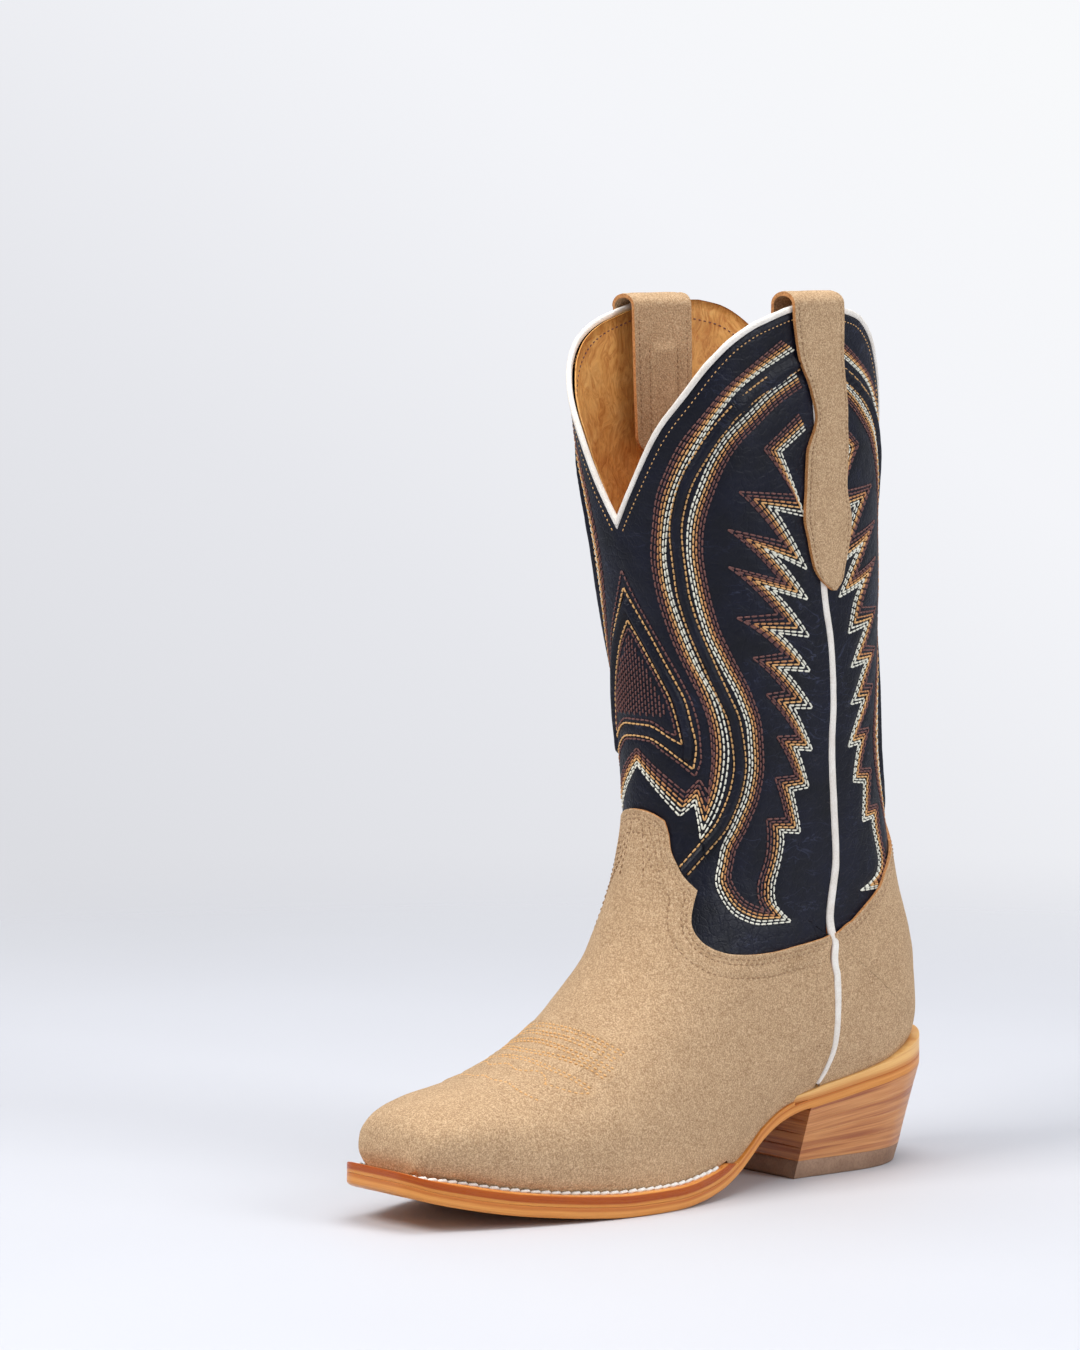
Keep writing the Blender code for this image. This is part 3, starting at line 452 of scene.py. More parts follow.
TEETH_DARK = [(96.4, 335.5), (74.2, 321), (87.4, 301), (59.2, 303), (77.8, 281), (52, 287),
              (74.2, 264.5), (50.2, 271), (70.6, 250), (50.8, 249), (71.2, 233), (56.2, 231.5),
              (70.6, 216.5), (61, 215.5), (74.8, 197), (64.6, 197), (73, 179.5), (62.8, 179),
              (68.2, 161), (58.6, 161)]
TEETH_CREAM = [(98.8, 329), (83.2, 319.5), (91.6, 291.5), (76, 295), (89.2, 268.5), (71.8, 276.5),
               (87.4, 255.5), (69.4, 260.5), (85.6, 239.5), (69.4, 242), (84.4, 224.5),
               (70.6, 226), (83.8, 208.5), (74.2, 209), (82, 190), (74.2, 191), (79.6, 174),
               (71.2, 173), (75.4, 154), (66.4, 155)]
TAIL_DARK = [(58.6, 161), (59.8, 151.5), (60.4, 143.5), (59.8, 134), (61.6, 127.5), (64, 124.5),
             (67, 121)]
TAIL_CREAM = [(66.4, 155), (67.6, 151), (67.6, 143), (67.6, 135), (70.6, 125), (77.2, 119.5),
              (83.8, 115.5)]
FLAME_DARK = [(0, 191.5), (23.2, 173), (29.2, 179), (32.8, 173)]
FLAME_CREAM = [(0, 184.5), (20.2, 163), (26.8, 168.5), (29.2, 153)]
MOTIF_SIDES = [[(0, 268.5), (6.4, 255.5), (13, 243.5), (19, 232.5), (25, 220.5), (28.6, 211),
                (30.4, 199), (30.4, 188.5), (27.4, 180.5)],
               [(0, 261), (7, 249), (11.8, 241), (16.6, 231.5), (21.4, 222), (25.6, 212.5),
                (27.4, 202), (28.6, 194), (26.8, 183.5)],
               [(0, 247), (5.2, 239.5), (11.2, 229), (15.4, 221), (19, 213), (21.4, 202),
                (22.6, 194)],
               [(0, 243.5), (4, 238.5), (9.6, 229), (13.8, 221), (17.3, 213), (19.6, 203),
                (20.3, 198)]]
MOTIF_FEET = [[(27.4, 180.5), (20.8, 186), (13, 191.5), (7.6, 195), (0, 195.5)],
              [(26.8, 183.5), (21.4, 187.5), (14.2, 193), (7, 196.5), (0, 197)],
              [(22.6, 194), (17.2, 197), (10.6, 201), (7, 202), (0, 202)],
              [(20.3, 198), (16.6, 199.2), (10.6, 203), (7, 204), (0, 204)]]
MOTIF_THREADS = ["brown", "gold", "gold", "brown"]
HATCH_ROW, HATCH_STITCH = 1.75, 2.5        # columns of small stitches inside the motif


def resampled(points, step):
    """Points at an even step along a line of straight runs."""
    points = np.asarray(points, float)
    lengths = np.linalg.norm(np.diff(points, axis=0), axis=1)
    at = np.concatenate([[0], np.cumsum(lengths)])
    count = max(2, int(round(at[-1] / step)) + 1)
    places = np.linspace(0, at[-1], count)
    return np.stack([np.interp(places, at, column) for column in points.T], 1)


def smooth_line(points, step):
    """Points at an even step along a smooth line through a few points."""
    points = np.asarray(points, float)
    lengths = np.linalg.norm(np.diff(points, axis=0), axis=1)
    at = np.concatenate([[0], np.cumsum(lengths)])
    fine = np.linspace(0, at[-1], 12 * len(points))
    dense = np.stack([curve(np.stack([at, column], 1), fine) for column in points.T], 1)
    return resampled(dense, step)


def resample_count(line, count):
    """A set number of points along a line, at an even count of its own points."""
    at = np.linspace(0, len(line) - 1, count)
    return np.stack([np.interp(at, np.arange(len(line)), column) for column in line.T], 1)


def parallel(line, distance):
    """A line moved to its left."""
    run = np.gradient(line, axis=0)
    run /= np.linalg.norm(run, axis=1, keepdims=True)
    return line + distance * np.stack([-run[:, 1], run[:, 0]], 1)


def between(first, last, row):
    """Line of one row of a band, between the band's first and last rows."""
    share = row / (ROWS - 1)
    return np.asarray(first, float) * (1 - share) + np.asarray(last, float) * share


def tooth_edges(points):
    """Zigzag edges as separate short lines; the upper edge of each tooth bows outwards a little."""
    edges = []
    for k in range(len(points) - 1):
        start, end = np.asarray(points[k], float), np.asarray(points[k + 1], float)
        t = np.linspace(0, 1, 9)[:, None]
        line = start * (1 - t) + end * t
        bow = 0.05 * np.linalg.norm(end - start) * (k % 2 == 1)
        line = line + np.array([0, 1.0]) * bow * 4 * t * (1 - t)
        edges.append(resampled(line, STITCH))
    return edges


def half_pattern():
    """Stitch lines of half a panel as (thread, corner points of the stitches)."""
    lines = []
    dark, cream = (resample_count(smooth_line(line, 1), 90) for line in (OUTER_DARK, OUTER_CREAM))
    for row, thread in enumerate(ROW_THREADS):
        lines.append((thread, resampled(between(dark, cream, row), STITCH)))
        tip = between(HOOK_DARK_TIP, INNER_CREAM[-1], row)
        band = parallel(smooth_line(INNER_CREAM, 1), ROW_STEP * (ROWS - 1 - row))
        hook = (band[:, 1] < 135) & (band[:, 0] > tip[0] - 1)
        band = np.concatenate([band[~hook], tip[None]])
        lines.append((thread, resampled(band, STITCH)))
        for edge in tooth_edges(between(TEETH_DARK, TEETH_CREAM, row)):
            lines.append((thread, edge))
        tail = between(TAIL_DARK, TAIL_CREAM, row)
        lines.append((thread, smooth_line(tail, STITCH)))
        flame = between(FLAME_DARK, FLAME_CREAM, row)
        lines += [(thread, resampled(flame[k:k + 2], STITCH)) for k in range(len(flame) - 1)]
    for distance in (-CORD_STITCHES, CORD_STITCHES):
        lines.append(("gold", resampled(parallel(smooth_line(RIDGE, 1), distance), SHORT_STITCH)))
    for thread, side, foot in zip(MOTIF_THREADS, MOTIF_SIDES, MOTIF_FEET):
        lines.append((thread, smooth_line(side, SHORT_STITCH)))
        lines.append((thread, smooth_line(foot, SHORT_STITCH)))
    return lines


def hatch_lines():
    """Upright rows of small stitches inside the motif, staggered like bricks."""
    sides = np.array(MOTIF_SIDES[3][::-1])
    lines = []
    for k, g in enumerate(np.arange(0.0, sides[:, 0].max(), HATCH_ROW)):
        z = np.arange(205.5 + 0.5 * HATCH_STITCH * (k % 2), 243, HATCH_STITCH)
        z = z[np.interp(z, sides[:, 1], sides[:, 0]) > g + 1.6]
        if len(z) > 1:
            lines.append(("brown", np.stack([0 * z + g, z], 1)))
    return lines


BACK_LIFT = 11.0                           # rise of the pattern's foot on the back panel
BACK_LIFT_TOP, BACK_LIFT_SPAN = 190.0, 75.0


def lifted_for_back(z):
    """Heights on the back panel, where the foot of the pattern sits higher than in front."""
    return z + BACK_LIFT * np.clip((BACK_LIFT_TOP - z) / BACK_LIFT_SPAN, 0, 1) ** 2


PATTERN = half_pattern()
MOTIF_OUTER, MOTIF_INNER = (smooth_line(line, 0.8) for line in MOTIF_SIDES[1:3])
CORDS = [smooth_line(RIDGE, 0.8),
         (MOTIF_OUTER + resample_count(MOTIF_INNER, len(MOTIF_OUTER))) / 2]


def plane_tree(lines):
    """Search tree over points of the flat pattern."""
    points = np.concatenate(lines)
    tree = KDTree(len(points))
    for k, (g, z) in enumerate(points):
        tree.insert((g, z, 0), k)
    tree.balance()
    return tree


def tree_distance(tree, points):
    """Distance of each point to the nearest point of a search tree."""
    return np.array([tree.find(p)[2] for p in points])


CORD_TREES = [plane_tree([line]) for line in CORDS]
STITCH_TREE = plane_tree([resampled(line, 0.9) for _, line in PATTERN])


def relief(g, z):
    """Height of the embroidered leather over its plain surface."""
    flat = np.stack([np.abs(g).ravel(), z.ravel(), 0 * g.ravel()], 1)
    height = np.zeros(len(flat))
    for tree in CORD_TREES:
        distance = tree_distance(tree, flat)
        height += CORD_HIGH * np.sqrt(np.clip(1 - (distance / CORD_HALF) ** 2, 0, 1))
        height -= 0.45 * bell(distance - 2.7, 0.8)
    distance = tree_distance(STITCH_TREE, flat)
    height += 0.4 * (1 - bell(distance, 2.2)) * bell(distance, 16)
    return height.reshape(g.shape)


# ---------------------------------------------------------------- mesh tools
def build_mesh(name, points, face_groups, marks=None):
    """Mesh of points (mm) and groups of faces with equal numbers of corners."""
    mesh = bpy.data.meshes.new(name)
    mesh.vertices.add(len(points))
    mesh.vertices.foreach_set("co", (np.asarray(points) * MM).astype(np.float32).ravel())
    corners = np.concatenate([np.asarray(group).ravel() for group in face_groups])
    sizes = np.concatenate([np.full(len(group), np.shape(group)[1]) for group in face_groups])
    starts = np.concatenate([[0], np.cumsum(sizes)[:-1]])
    mesh.loops.add(len(corners))
    mesh.loops.foreach_set("vertex_index", corners.astype(np.int32))
    mesh.polygons.add(len(sizes))
    mesh.polygons.foreach_set("loop_start", starts.astype(np.int32))
    if marks is not None:
        mesh.polygons.foreach_set("material_index", np.asarray(marks, np.int32))
    mesh.update(calc_edges=True)
    mesh.validate()
    return mesh


def place_object(name, data):
    """New object in the scene."""
    made = bpy.data.objects.new(name, data)
    bpy.context.scene.collection.objects.link(made)
    return made


def finish_piece(name, mesh, finishes, nodes=(), sharp=None):
    """Makes the piece: its materials, shading, body and the CAD nodes it replaces."""
    for finish in finishes:
        mesh.materials.append(finish)
    mesh.polygons.foreach_set("use_smooth", np.ones(len(mesh.polygons), bool))
    if sharp is not None:
        mesh.set_sharp_from_angle(angle=math.radians(sharp))
    piece = place_object(name, mesh)
    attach(piece, "root")
    if nodes:
        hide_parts(*nodes)
    return piece


def grid_quads(rows, columns, skip_middle=False, closed=False):
    """Quads of a grid of points; a closed grid joins its last column to its first."""
    last = columns if closed else columns - 1
    j = np.array([k for k in range(last) if not (skip_middle and k == columns // 2 - 1)])
    i, j = np.meshgrid(np.arange(rows - 1), j, indexing="ij")
    i, j = i.ravel(), j.ravel()
    k = (j + 1) % columns
    return np.stack([i * columns + j, i * columns + k, (i + 1) * columns + k,
                     (i + 1) * columns + j], 1)


def recalculate_normals(mesh):
    """Turns all faces of a closed mesh outwards."""
    work = bmesh.new()
    work.from_mesh(mesh)
    bmesh.ops.recalc_face_normals(work, faces=work.faces)
    work.to_mesh(mesh)
    work.free()


def tucked_foot(place, normal, station):
    """Lower end of an upper's rim at the sole, a little in from its outer face."""
    waist = WELT_END < station < WAIST_RAND
    foot = float(outsole_top(station)) + WAIST_STRIP - 0.2 if waist else float(curve(FEATHER, station))
    level = Vector((normal.x, normal.y, 0)).normalized()
    return Vector((place.x, place.y, (foot + 0.15) * MM)) - level * 0.5 * MM


def sheet_mesh(name, grid, thick, outward=True, skip_middle=False, on_sole=False):
    """Surface through a grid of points with a rim of the sheet's thickness (material 1).

    With on_sole set, the rim along the sole is part of the face (material 0) and goes straight
    down, to the welt or, at the waist, to its low strip.
    """
    rows, columns = grid.shape[:2]
    mesh = build_mesh(name, grid.reshape(-1, 3), [grid_quads(rows, columns, skip_middle)])
    work = bmesh.new()
    work.from_mesh(mesh)
    bmesh.ops.remove_doubles(work, verts=work.verts, dist=0.02 * MM)
    bmesh.ops.dissolve_degenerate(work, edges=work.edges, dist=0.01 * MM)
    work.normal_update()
    middle = sum((v.co for v in work.verts), Vector()) / len(work.verts)
    facing = sum((v.co - middle).dot(v.normal) for v in work.verts)
    if (facing > 0) != outward:
        bmesh.ops.reverse_faces(work, faces=work.faces)
    work.normal_update()
    border = [edge for edge in work.edges if edge.is_boundary]
    normals = {v: v.normal.copy() for edge in border for v in edge.verts}
    made = bmesh.ops.extrude_edge_only(work, edges=border)["geom"]
    fresh = {v for v in made if isinstance(v, bmesh.types.BMVert)}
    rim_low = set()
    for v in fresh:
        source = min((edge.other_vert(v) for edge in v.link_edges if edge.other_vert(v) in normals),
                     key=lambda other: (other.co - v.co).length)
        station = v.co.y / MM + HALF_LENGTH
        if on_sole and v.co.z / MM < float(curve(FEATHER, station)) + 3.2:
            v.co = tucked_foot(v.co, normals[source], station)
            rim_low.add(v)
        else:
            v.co = v.co - normals[source] * thick * MM
    for face in (item for item in made if isinstance(item, bmesh.types.BMFace)):
        face.material_index = 0 if rim_low.intersection(face.verts) else 1
    work.to_mesh(mesh)
    work.free()
    return mesh


def column_places(first, last, outline, belt, count, corners=()):
    """Places of a grid's columns, evenly spread where the outline or the belt line is longest."""
    s = np.linspace(first, last, 3001)
    steps = [np.linalg.norm(np.diff(skin(line(s), s, 1), axis=0), axis=1)
             for line in (outline, belt)]
    at = np.concatenate([[0], np.cumsum(np.maximum(*steps))])
    places = np.interp(np.linspace(0, at[-1], count), at, s)
    for corner in corners:
        places[np.argmin(np.abs(places - corner))] = corner
    return places


def ripple(points, size, seed):
    """Soft random waves from -1 to 1 with features of about the given size."""
    draw = np.random.default_rng(seed)
    total = np.zeros(points.shape[:-1])
    for _ in range(7):
        direction = draw.normal(size=3)
        direction /= np.linalg.norm(direction)
        phase, scale = draw.uniform(0, 2 * np.pi), draw.uniform(0.6, 1.5)
        total += np.sin(points @ direction * 2 * np.pi / size * scale + phase)
    return total / 4


def shaft_wave(points):
    """Soft unevenness of the shaft leather, in mm."""
    return 0.2 * ripple(points, 45, 8) + 0.07 * ripple(points, 14, 9)


def suede_wave(points, broad):
    """Soft unevenness of the suede, in mm."""
    return broad * ripple(points, 34, 3) + 0.1 * ripple(points, 12, 4)


# ---------------------------------------------------------------- threads
def sew_points(line, side, step):
    """Evenly spaced (ring, place) points along a line on the skin."""
    points = skin(line[:, 0], line[:, 1], side)
    at = np.concatenate([[0], np.cumsum(np.linalg.norm(np.diff(points, axis=0), axis=1))])
    count = max(2, int(round(at[-1] / step)) + 1)
    places = np.linspace(0, at[-1], count)
    return np.stack([np.interp(places, at, line[:, 0]), np.interp(places, at, line[:, 1])], 1)


# a stitch is a bead whose ends dip into the leather: (share of its length, thickness, rise)
BEAD_RINGS = [(0.0, 0.5, -0.7), (0.2, 1.0, 0.25), (0.8, 1.0, 0.25), (1.0, 0.5, -0.7)]
BEAD_SIDES = 5


class Threads:
    """Collects stitches of one colour and region, and makes them one piece."""

    def __init__(self):
        self.starts, self.ends, self.normals, self.sizes = [], [], [], []

    def add(self, starts, ends, normals, half_width, height):
        self.starts.append(starts)
        self.ends.append(ends)
        self.normals.append(normals)
        self.sizes.append(np.tile([half_width, height], (len(starts), 1)))

    def mesh(self, name):
        starts, ends = np.concatenate(self.starts), np.concatenate(self.ends)
        normals, sizes = unit(np.concatenate(self.normals)), np.concatenate(self.sizes)
        along = ends - starts
        wide = unit(np.cross(along, normals))
        out = unit(np.cross(wide, along))
        jitter = RANDOM.uniform(0.9, 1.1, (len(starts), 1))
        half, high = sizes[:, :1] * jitter, sizes[:, 1:] * jitter
        rings = []
        for share, size, rise in BEAD_RINGS:
            centre = starts + along * share + out * rise * high
            for k in range(BEAD_SIDES):
                angle = 2 * np.pi * (k + 0.5) / BEAD_SIDES
                rings.append(centre + wide * half * size * np.cos(angle)
                             + out * high * size * np.sin(angle))
        points = np.stack(rings, 1)
        each = len(BEAD_RINGS) * BEAD_SIDES
        quads = grid_quads(len(BEAD_RINGS), BEAD_SIDES, closed=True)
        caps = np.array([list(range(BEAD_SIDES))[::-1], list(range(each - BEAD_SIDES, each))])
        base = np.arange(len(starts))[:, None, None] * each
        return build_mesh(name, points.reshape(-1, 3),
                          [(quads[None] + base).reshape(-1, 4),
                           (caps[None] + base).reshape(-1, BEAD_SIDES)])


THREADS = {}


def thread(colour, region):
    """The stitches collected for one colour and region."""
    return THREADS.setdefault((colour, region), Threads())


def sew_chain(threads, points, normals, half_width, height, gap):
    """Stitches between neighbouring points, each a little shorter than its space."""
    starts, ends = points[:-1], points[1:]
    shorten = gap / 2 * unit(ends - starts)
    threads.add(starts + shorten, ends - shorten, (normals[:-1] + normals[1:]) / 2,
                half_width, height)


def sew_on_skin(threads, line, side, offset, half_width, height, gap):
    """Stitches along evenly spaced (ring, place) points."""
    points = skin(line[:, 0], line[:, 1], side, offset)
    normals = skin(line[:, 0], line[:, 1], side, offset + 1.0) - points
    sew_chain(threads, points, normals, half_width, height, gap)


# ---------------------------------------------------------------- suede foot
VAMP_COLUMNS, VAMP_ROWS = 115, 235
COUNTER_COLUMNS, COUNTER_ROWS = 80, 150
EDGE_ROWS = (2.2, 4.2)                     # double row of stitches along the top edges
EDGE_DOTS = 10.0                           # single row lower down on the vamp
FOOT_STITCH, TOE_STITCH = 2.9, 2.5
# (place, ring) rows of the stitched toe ornament, on each side of the front centre line
TOE_ROWS = [[(0, 6.86), (.13, 6.89), (.31, 7.0), (.42, 7.1), (.5, 7.23)],
            [(0, 6.66), (.18, 6.72), (.29, 6.78), (.42, 6.91), (.49, 7.0)],
            [(0, 6.46), (.16, 6.47), (.28, 6.53), (.39, 6.64), (.45, 6.74), (.53, 6.85)],
            [(0, 6.14), (.06, 6.15), (.17, 6.23), (.3, 6.36), (.42, 6.53), (.54, 6.64)],
            [(0, 5.9), (.12, 5.92), (.23, 5.94), (.32, 6.0), (.4, 6.09), (.5, 6.2), (.55, 6.23)],
            [(.34, 5.54), (.4, 5.64), (.46, 5.76), (.52, 5.9), (.56, 6.07), (.57, 6.18)],
            [(0, 5.63), (.05, 5.6), (.1, 5.5), (.14, 5.49), (.17, 5.6), (.24, 5.75), (.3, 5.72),
             (.36, 5.56)],
            [(0, 5.1), (.05, 5.02), (.1, 4.97), (.14, 5.06), (.19, 5.14), (.25, 5.08),
             (.31, 5.05), (.39, 5.11), (.47, 5.2)]]


def toe_line(row):
    """(ring, place) points of one row of the toe ornament."""
    places = np.linspace(row[0][0], row[-1][0], 60)
    return np.stack([rounded(curve(row, places), 60), places], 1)


def tongue_lines():
    """(ring, place) rows that fan out down the tongue."""
    lines = []
    for top, spread in ((12.0, 0.04), (11.9, 0.085)):
        u = np.linspace(10.25, top, 60)
        lines.append(np.stack([u, spread + 1.6 * spread * ((12 - u) / 1.75) ** 1.5], 1))
    return lines


def ridge_tree(lines):
    """Search tree over lines of (ring, place) points on the skin."""
    points = np.concatenate([skin(line[:, 0], line[:, 1], side) for line, side in lines])
    tree = KDTree(len(points))
    for k, point in enumerate(points):
        tree.insert(point, k)
    tree.balance()
    return tree


def make_vamp():
    corners = [run[-1][0] for run in VAMP_RUNS]
    s = column_places(0, 2, vamp_top, lambda s: np.minimum(vamp_top(s), 6.5), VAMP_COLUMNS,
                      corners)
    v = np.linspace(0, 1, VAMP_ROWS)[:, None]
    u = v * vamp_top(s)[None]
    s = s[None] + 0 * u
    doubled = [toe_line(row) for row in TOE_ROWS]
    doubled += [line - [0.08, 0] for line in doubled[:5]]
    toe_rows = [(line, side) for line in doubled for side in (1, -1)]
    toe_tree = ridge_tree(toe_rows)
    places = np.linspace(0.001, 0.893, 700)
    edge_lines = {d: inset_line(vamp_top, places, 1, d) for d in (*EDGE_ROWS, EDGE_DOTS)}
    sewn = [(line, side) for line in (*edge_lines.values(), *tongue_lines()) for side in (1, -1)]
    edge_tree = ridge_tree(sewn)
    halves = []
    for side in (1, -1):
        plain = skin(u, s, side)
        flat = plain.reshape(-1, 3)
        toe = tree_distance(toe_tree, flat).reshape(u.shape)
        edge = tree_distance(edge_tree, flat).reshape(u.shape)
        lift = 0.5 * bell(toe - 2.0, 1.4) - 0.35 * bell(toe, 0.9) - 0.4 * bell(edge, 0.9)
        halves.append(skin(u, s, side, SUEDE_OFFSET + lift + suede_wave(plain, 0.22)))
    grid = np.concatenate([halves[1][:, ::-1], halves[0][:, 1:]], 1)
    mesh = sheet_mesh("suede_vamp", grid, SUEDE_THICK, on_sole=True)
    finish_piece("suede_vamp", mesh, [SUEDE, RAW_EDGE], ["vamp"])

    for line, side in toe_rows:
        points = sew_points(line, side, TOE_STITCH)
        sew_on_skin(thread("honey", "toe"), points, side, SUEDE_OFFSET - 0.15, 0.45, 0.45, 0.9)
    for line, side in sewn:
        points = sew_points(line, side, FOOT_STITCH)
        sew_on_skin(thread("buff", "foot"), points, side, SUEDE_OFFSET - 0.3, 0.3, 0.34, 1.2)


def make_counter():
    first = float(COUNTER_FRONT[0, 0]) + 0.004
    s = column_places(first, 2, counter_top, lambda s: counter_front(s) + 0.8, COUNTER_COLUMNS)
    v = np.linspace(0, 1, COUNTER_ROWS)[:, None]
    low, high = counter_front(s)[None], counter_top(s)[None]
    u = low + (high - low) * v
    s = s[None] + 0 * u
    halves = []
    for side in (1, -1):
        wave = suede_wave(skin(u, s, side), 0.2)
        halves.append(skin(u, s, side, SUEDE_OFFSET + wave))
    grid = np.concatenate([halves[0], halves[1][:, ::-1]], 1)
    mesh = sheet_mesh("suede_counter", grid, SUEDE_THICK, skip_middle=True, on_sole=True)
    finish_piece("suede_counter", mesh, [SUEDE, RAW_EDGE], ["counter_cover"])
    for side in (1, -1):
        for distance in EDGE_ROWS:
            line = inset_line(counter_top, np.linspace(0.94, 1.999, 500), side, distance)
            points = sew_points(line, side, FOOT_STITCH)
            sew_on_skin(thread("buff", "foot"), points, side, SUEDE_OFFSET - 0.1, 0.3, 0.34, 1.2)


# ---------------------------------------------------------------- shaft and its lining
SHAFT_COLUMNS, SHAFT_ROWS = 122, 200
EMBROIDERY_HALF, EMBROIDERY_HIGH, EMBROIDERY_GAP = 0.43, 0.38, 0.45
LINING_COLUMNS, LINING_ROWS = 70, 110
LINING_RISE = 2.0                          # of the back lining's top, over the piping's inside
LINING_TUCK = 0.7                          # how far the linings' lower edges bend inwards


def front_low(s):
    """Ring of the front shaft panel's lower edge, hidden under the vamp."""
    return vamp_top(s) - LAP


def back_low(s):
    """Ring of the back panels' lower edges, hidden under the counter."""
    return counter_top(s) - LAP


def lining_low(s):
    """Ring of the front lining's lower edge."""
    return curve(LINING_EDGE, s) + LINING_JOIN


def shaft_places(low, front, columns, rows):
    """Rings and places of one side of a shaft panel, between a low edge and the top line."""
    shares = np.linspace(0, 1, columns)

    def place(u, share):
        seam = curve(SEAM_SHAFT, u)
        if front:
            return share * (seam - SEAM_HALF_SLOT)
        return (seam + SEAM_HALF_SLOT) * (1 - share) + 2 * share

    start, end = shares * 0 + 14.0, shares * 0 + 18.0        # first guesses of the rings
    for _ in range(40):                      # the place of a column depends on its ring
        start = (start + low(place(start, shares))) / 2
        end = (end + top_line(place(end, shares))) / 2
    u = start + (end - start) * np.linspace(0, 1, rows)[:, None]
    return u, place(u, shares[None] + 0 * u)


def both_sides(halves, front):
    """Joins the lateral and medial halves of a grid across their centre line."""
    lateral, medial = halves
    if front:
        return np.concatenate([medial[:, ::-1], lateral[:, 1:]], 1)
    return np.concatenate([lateral, medial[:, -2::-1]], 1)


def pattern_girth(s, z, front):
    """Girth in the front half's pattern: the back panel mirrors it about the side seam."""
    g = girth_of(s, z)
    return g if front else 2 * np.interp(z, HEIGHTS, SEAM_GIRTH) - g


def make_shaft_panel(name, node, low, front):
    u, s = shaft_places(low, front, SHAFT_COLUMNS, SHAFT_ROWS)
    halves = []
    for side in (1, -1):
        plain = skin(u, s, side)
        z = last_point(u, s, side)[..., 2]
        height = z if front else np.interp(z, lifted_for_back(HEIGHTS), HEIGHTS)
        lift = relief(pattern_girth(s, z, front), height)
        halves.append(skin(u, s, side, SHAFT_OFFSET + lift + shaft_wave(plain)))
    mesh = sheet_mesh(name, both_sides(halves, front), SHAFT_THICK)
    finish_piece(name, mesh, [DARK_LEATHER, DARK_LEATHER], [node])


def make_lining_panel(name, node, low, front):
    u, s = shaft_places(low, front, LINING_COLUMNS, LINING_ROWS)
    halves = []
    for side in (1, -1):
        plain = skin(u, s, side)
        wrinkle = 0.4 * ripple(plain, 40, 21) + 0.22 * ripple(plain * [1, 1, 2.2], 22, 22)
        share = np.linspace(0, 1, len(u))[:, None]
        edge = np.clip(share / 0.07, 0, 1)
        wrinkle *= np.clip((19.2 - u) / 2, 0, 1) * edge
        if not front:
            ring_height = 52 + 14 * s        # mm between the top two rings, about
            u = np.minimum(u + LINING_RISE / ring_height * share ** 6, TOP_RING)
        halves.append(skin(u, s, side, LINING_OFFSET + wrinkle - LINING_TUCK * (1 - edge)))
    mesh = sheet_mesh(name, both_sides(halves, front), -LINING_THICK, outward=False)
    finish_piece(name, mesh, [LINING, LINING], [node])


# ---------------------------------------------------------------- embroidery
def embroider(front):
    """Sews the pattern on both halves of one panel, and leaves out what other pieces cover."""
    region = "front" if front else "back"
    lines = PATTERN + (hatch_lines() if front else [])
    g, z = np.concatenate([line for _, line in lines]).T
    number = np.repeat(np.arange(len(lines)), [len(line) for _, line in lines])
    colour = np.array([name for name, _ in lines])[number]
    height = relief(g, z) + np.where(colour == "gold", 0.35, 0.12)
    z = z if front else lifted_for_back(z)
    place = g if front else 2 * np.interp(z, HEIGHTS, SEAM_GIRTH) - g
    u, s = on_shaft(place, z)
    low = vamp_top(s) if front else counter_top(s)
    shown = (u > low - 0.05) & (u < top_line(s) - 0.12) & (s < 1.99)
    keep = (number[1:] == number[:-1]) & shown[1:] & shown[:-1]
    for side in (1, -1):
        offset = SHAFT_OFFSET + height + shaft_wave(skin(u, s, side))
        points = skin(u, s, side, offset)
        normals = skin(u, s, side, offset + 1) - points
        gap = EMBROIDERY_GAP / 2 * unit(points[1:] - points[:-1])
        for name in np.unique(colour):
            here = keep & (colour[1:] == name)
            thread(name, region).add((points[:-1] + gap)[here], (points[1:] - gap)[here],
                                     normals[:-1][here], EMBROIDERY_HALF, EMBROIDERY_HIGH)


TOP_STITCH, TOP_STITCH_DROP = 2.3, 3.4     # outside, and how far under the top line
LINING_STITCH, LINING_STITCH_DROP = 2.6, 4.6


def sew_top_edges():
    """Gold stitches under the top piping outside, and brown ones inside on the lining."""
    places = np.linspace(0.002, 1.998, 1500)
    for side in (1, -1):
        line = inset_line(top_line, places, side, TOP_STITCH_DROP)
        points = sew_points(line, side, TOP_STITCH)
        offset = SHAFT_OFFSET + 0.1 + shaft_wave(skin(points[:, 0], points[:, 1], side))
        sew_on_skin(thread("gold", "top"), points, side, offset, 0.28, 0.32, 0.9)
        line = inset_line(top_line, places, side, LINING_STITCH_DROP)
        points = sew_points(line, side, LINING_STITCH)
        start = skin(points[:, 0], points[:, 1], side, LINING_OFFSET)
        normals = skin(points[:, 0], points[:, 1], side, LINING_OFFSET - 1.0) - start
        sew_chain(thread("brown", "lining"), start, normals, 0.3, 0.3, 1.1)


# ---------------------------------------------------------------- piping and straps
TUBE_SIDES = 14
PIPING_THIN, PIPING_THICK = 1.25, 1.9      # half widths of the side piping, at the sole and above
PIPING_SUEDE_TOP = 116.0                   # height under which the side piping steps outwards
PIPING_STEP = 1.7                          # height of that step
BINDING_DEPTH = 0.5                        # of the top piping's middle inside the shaft's face


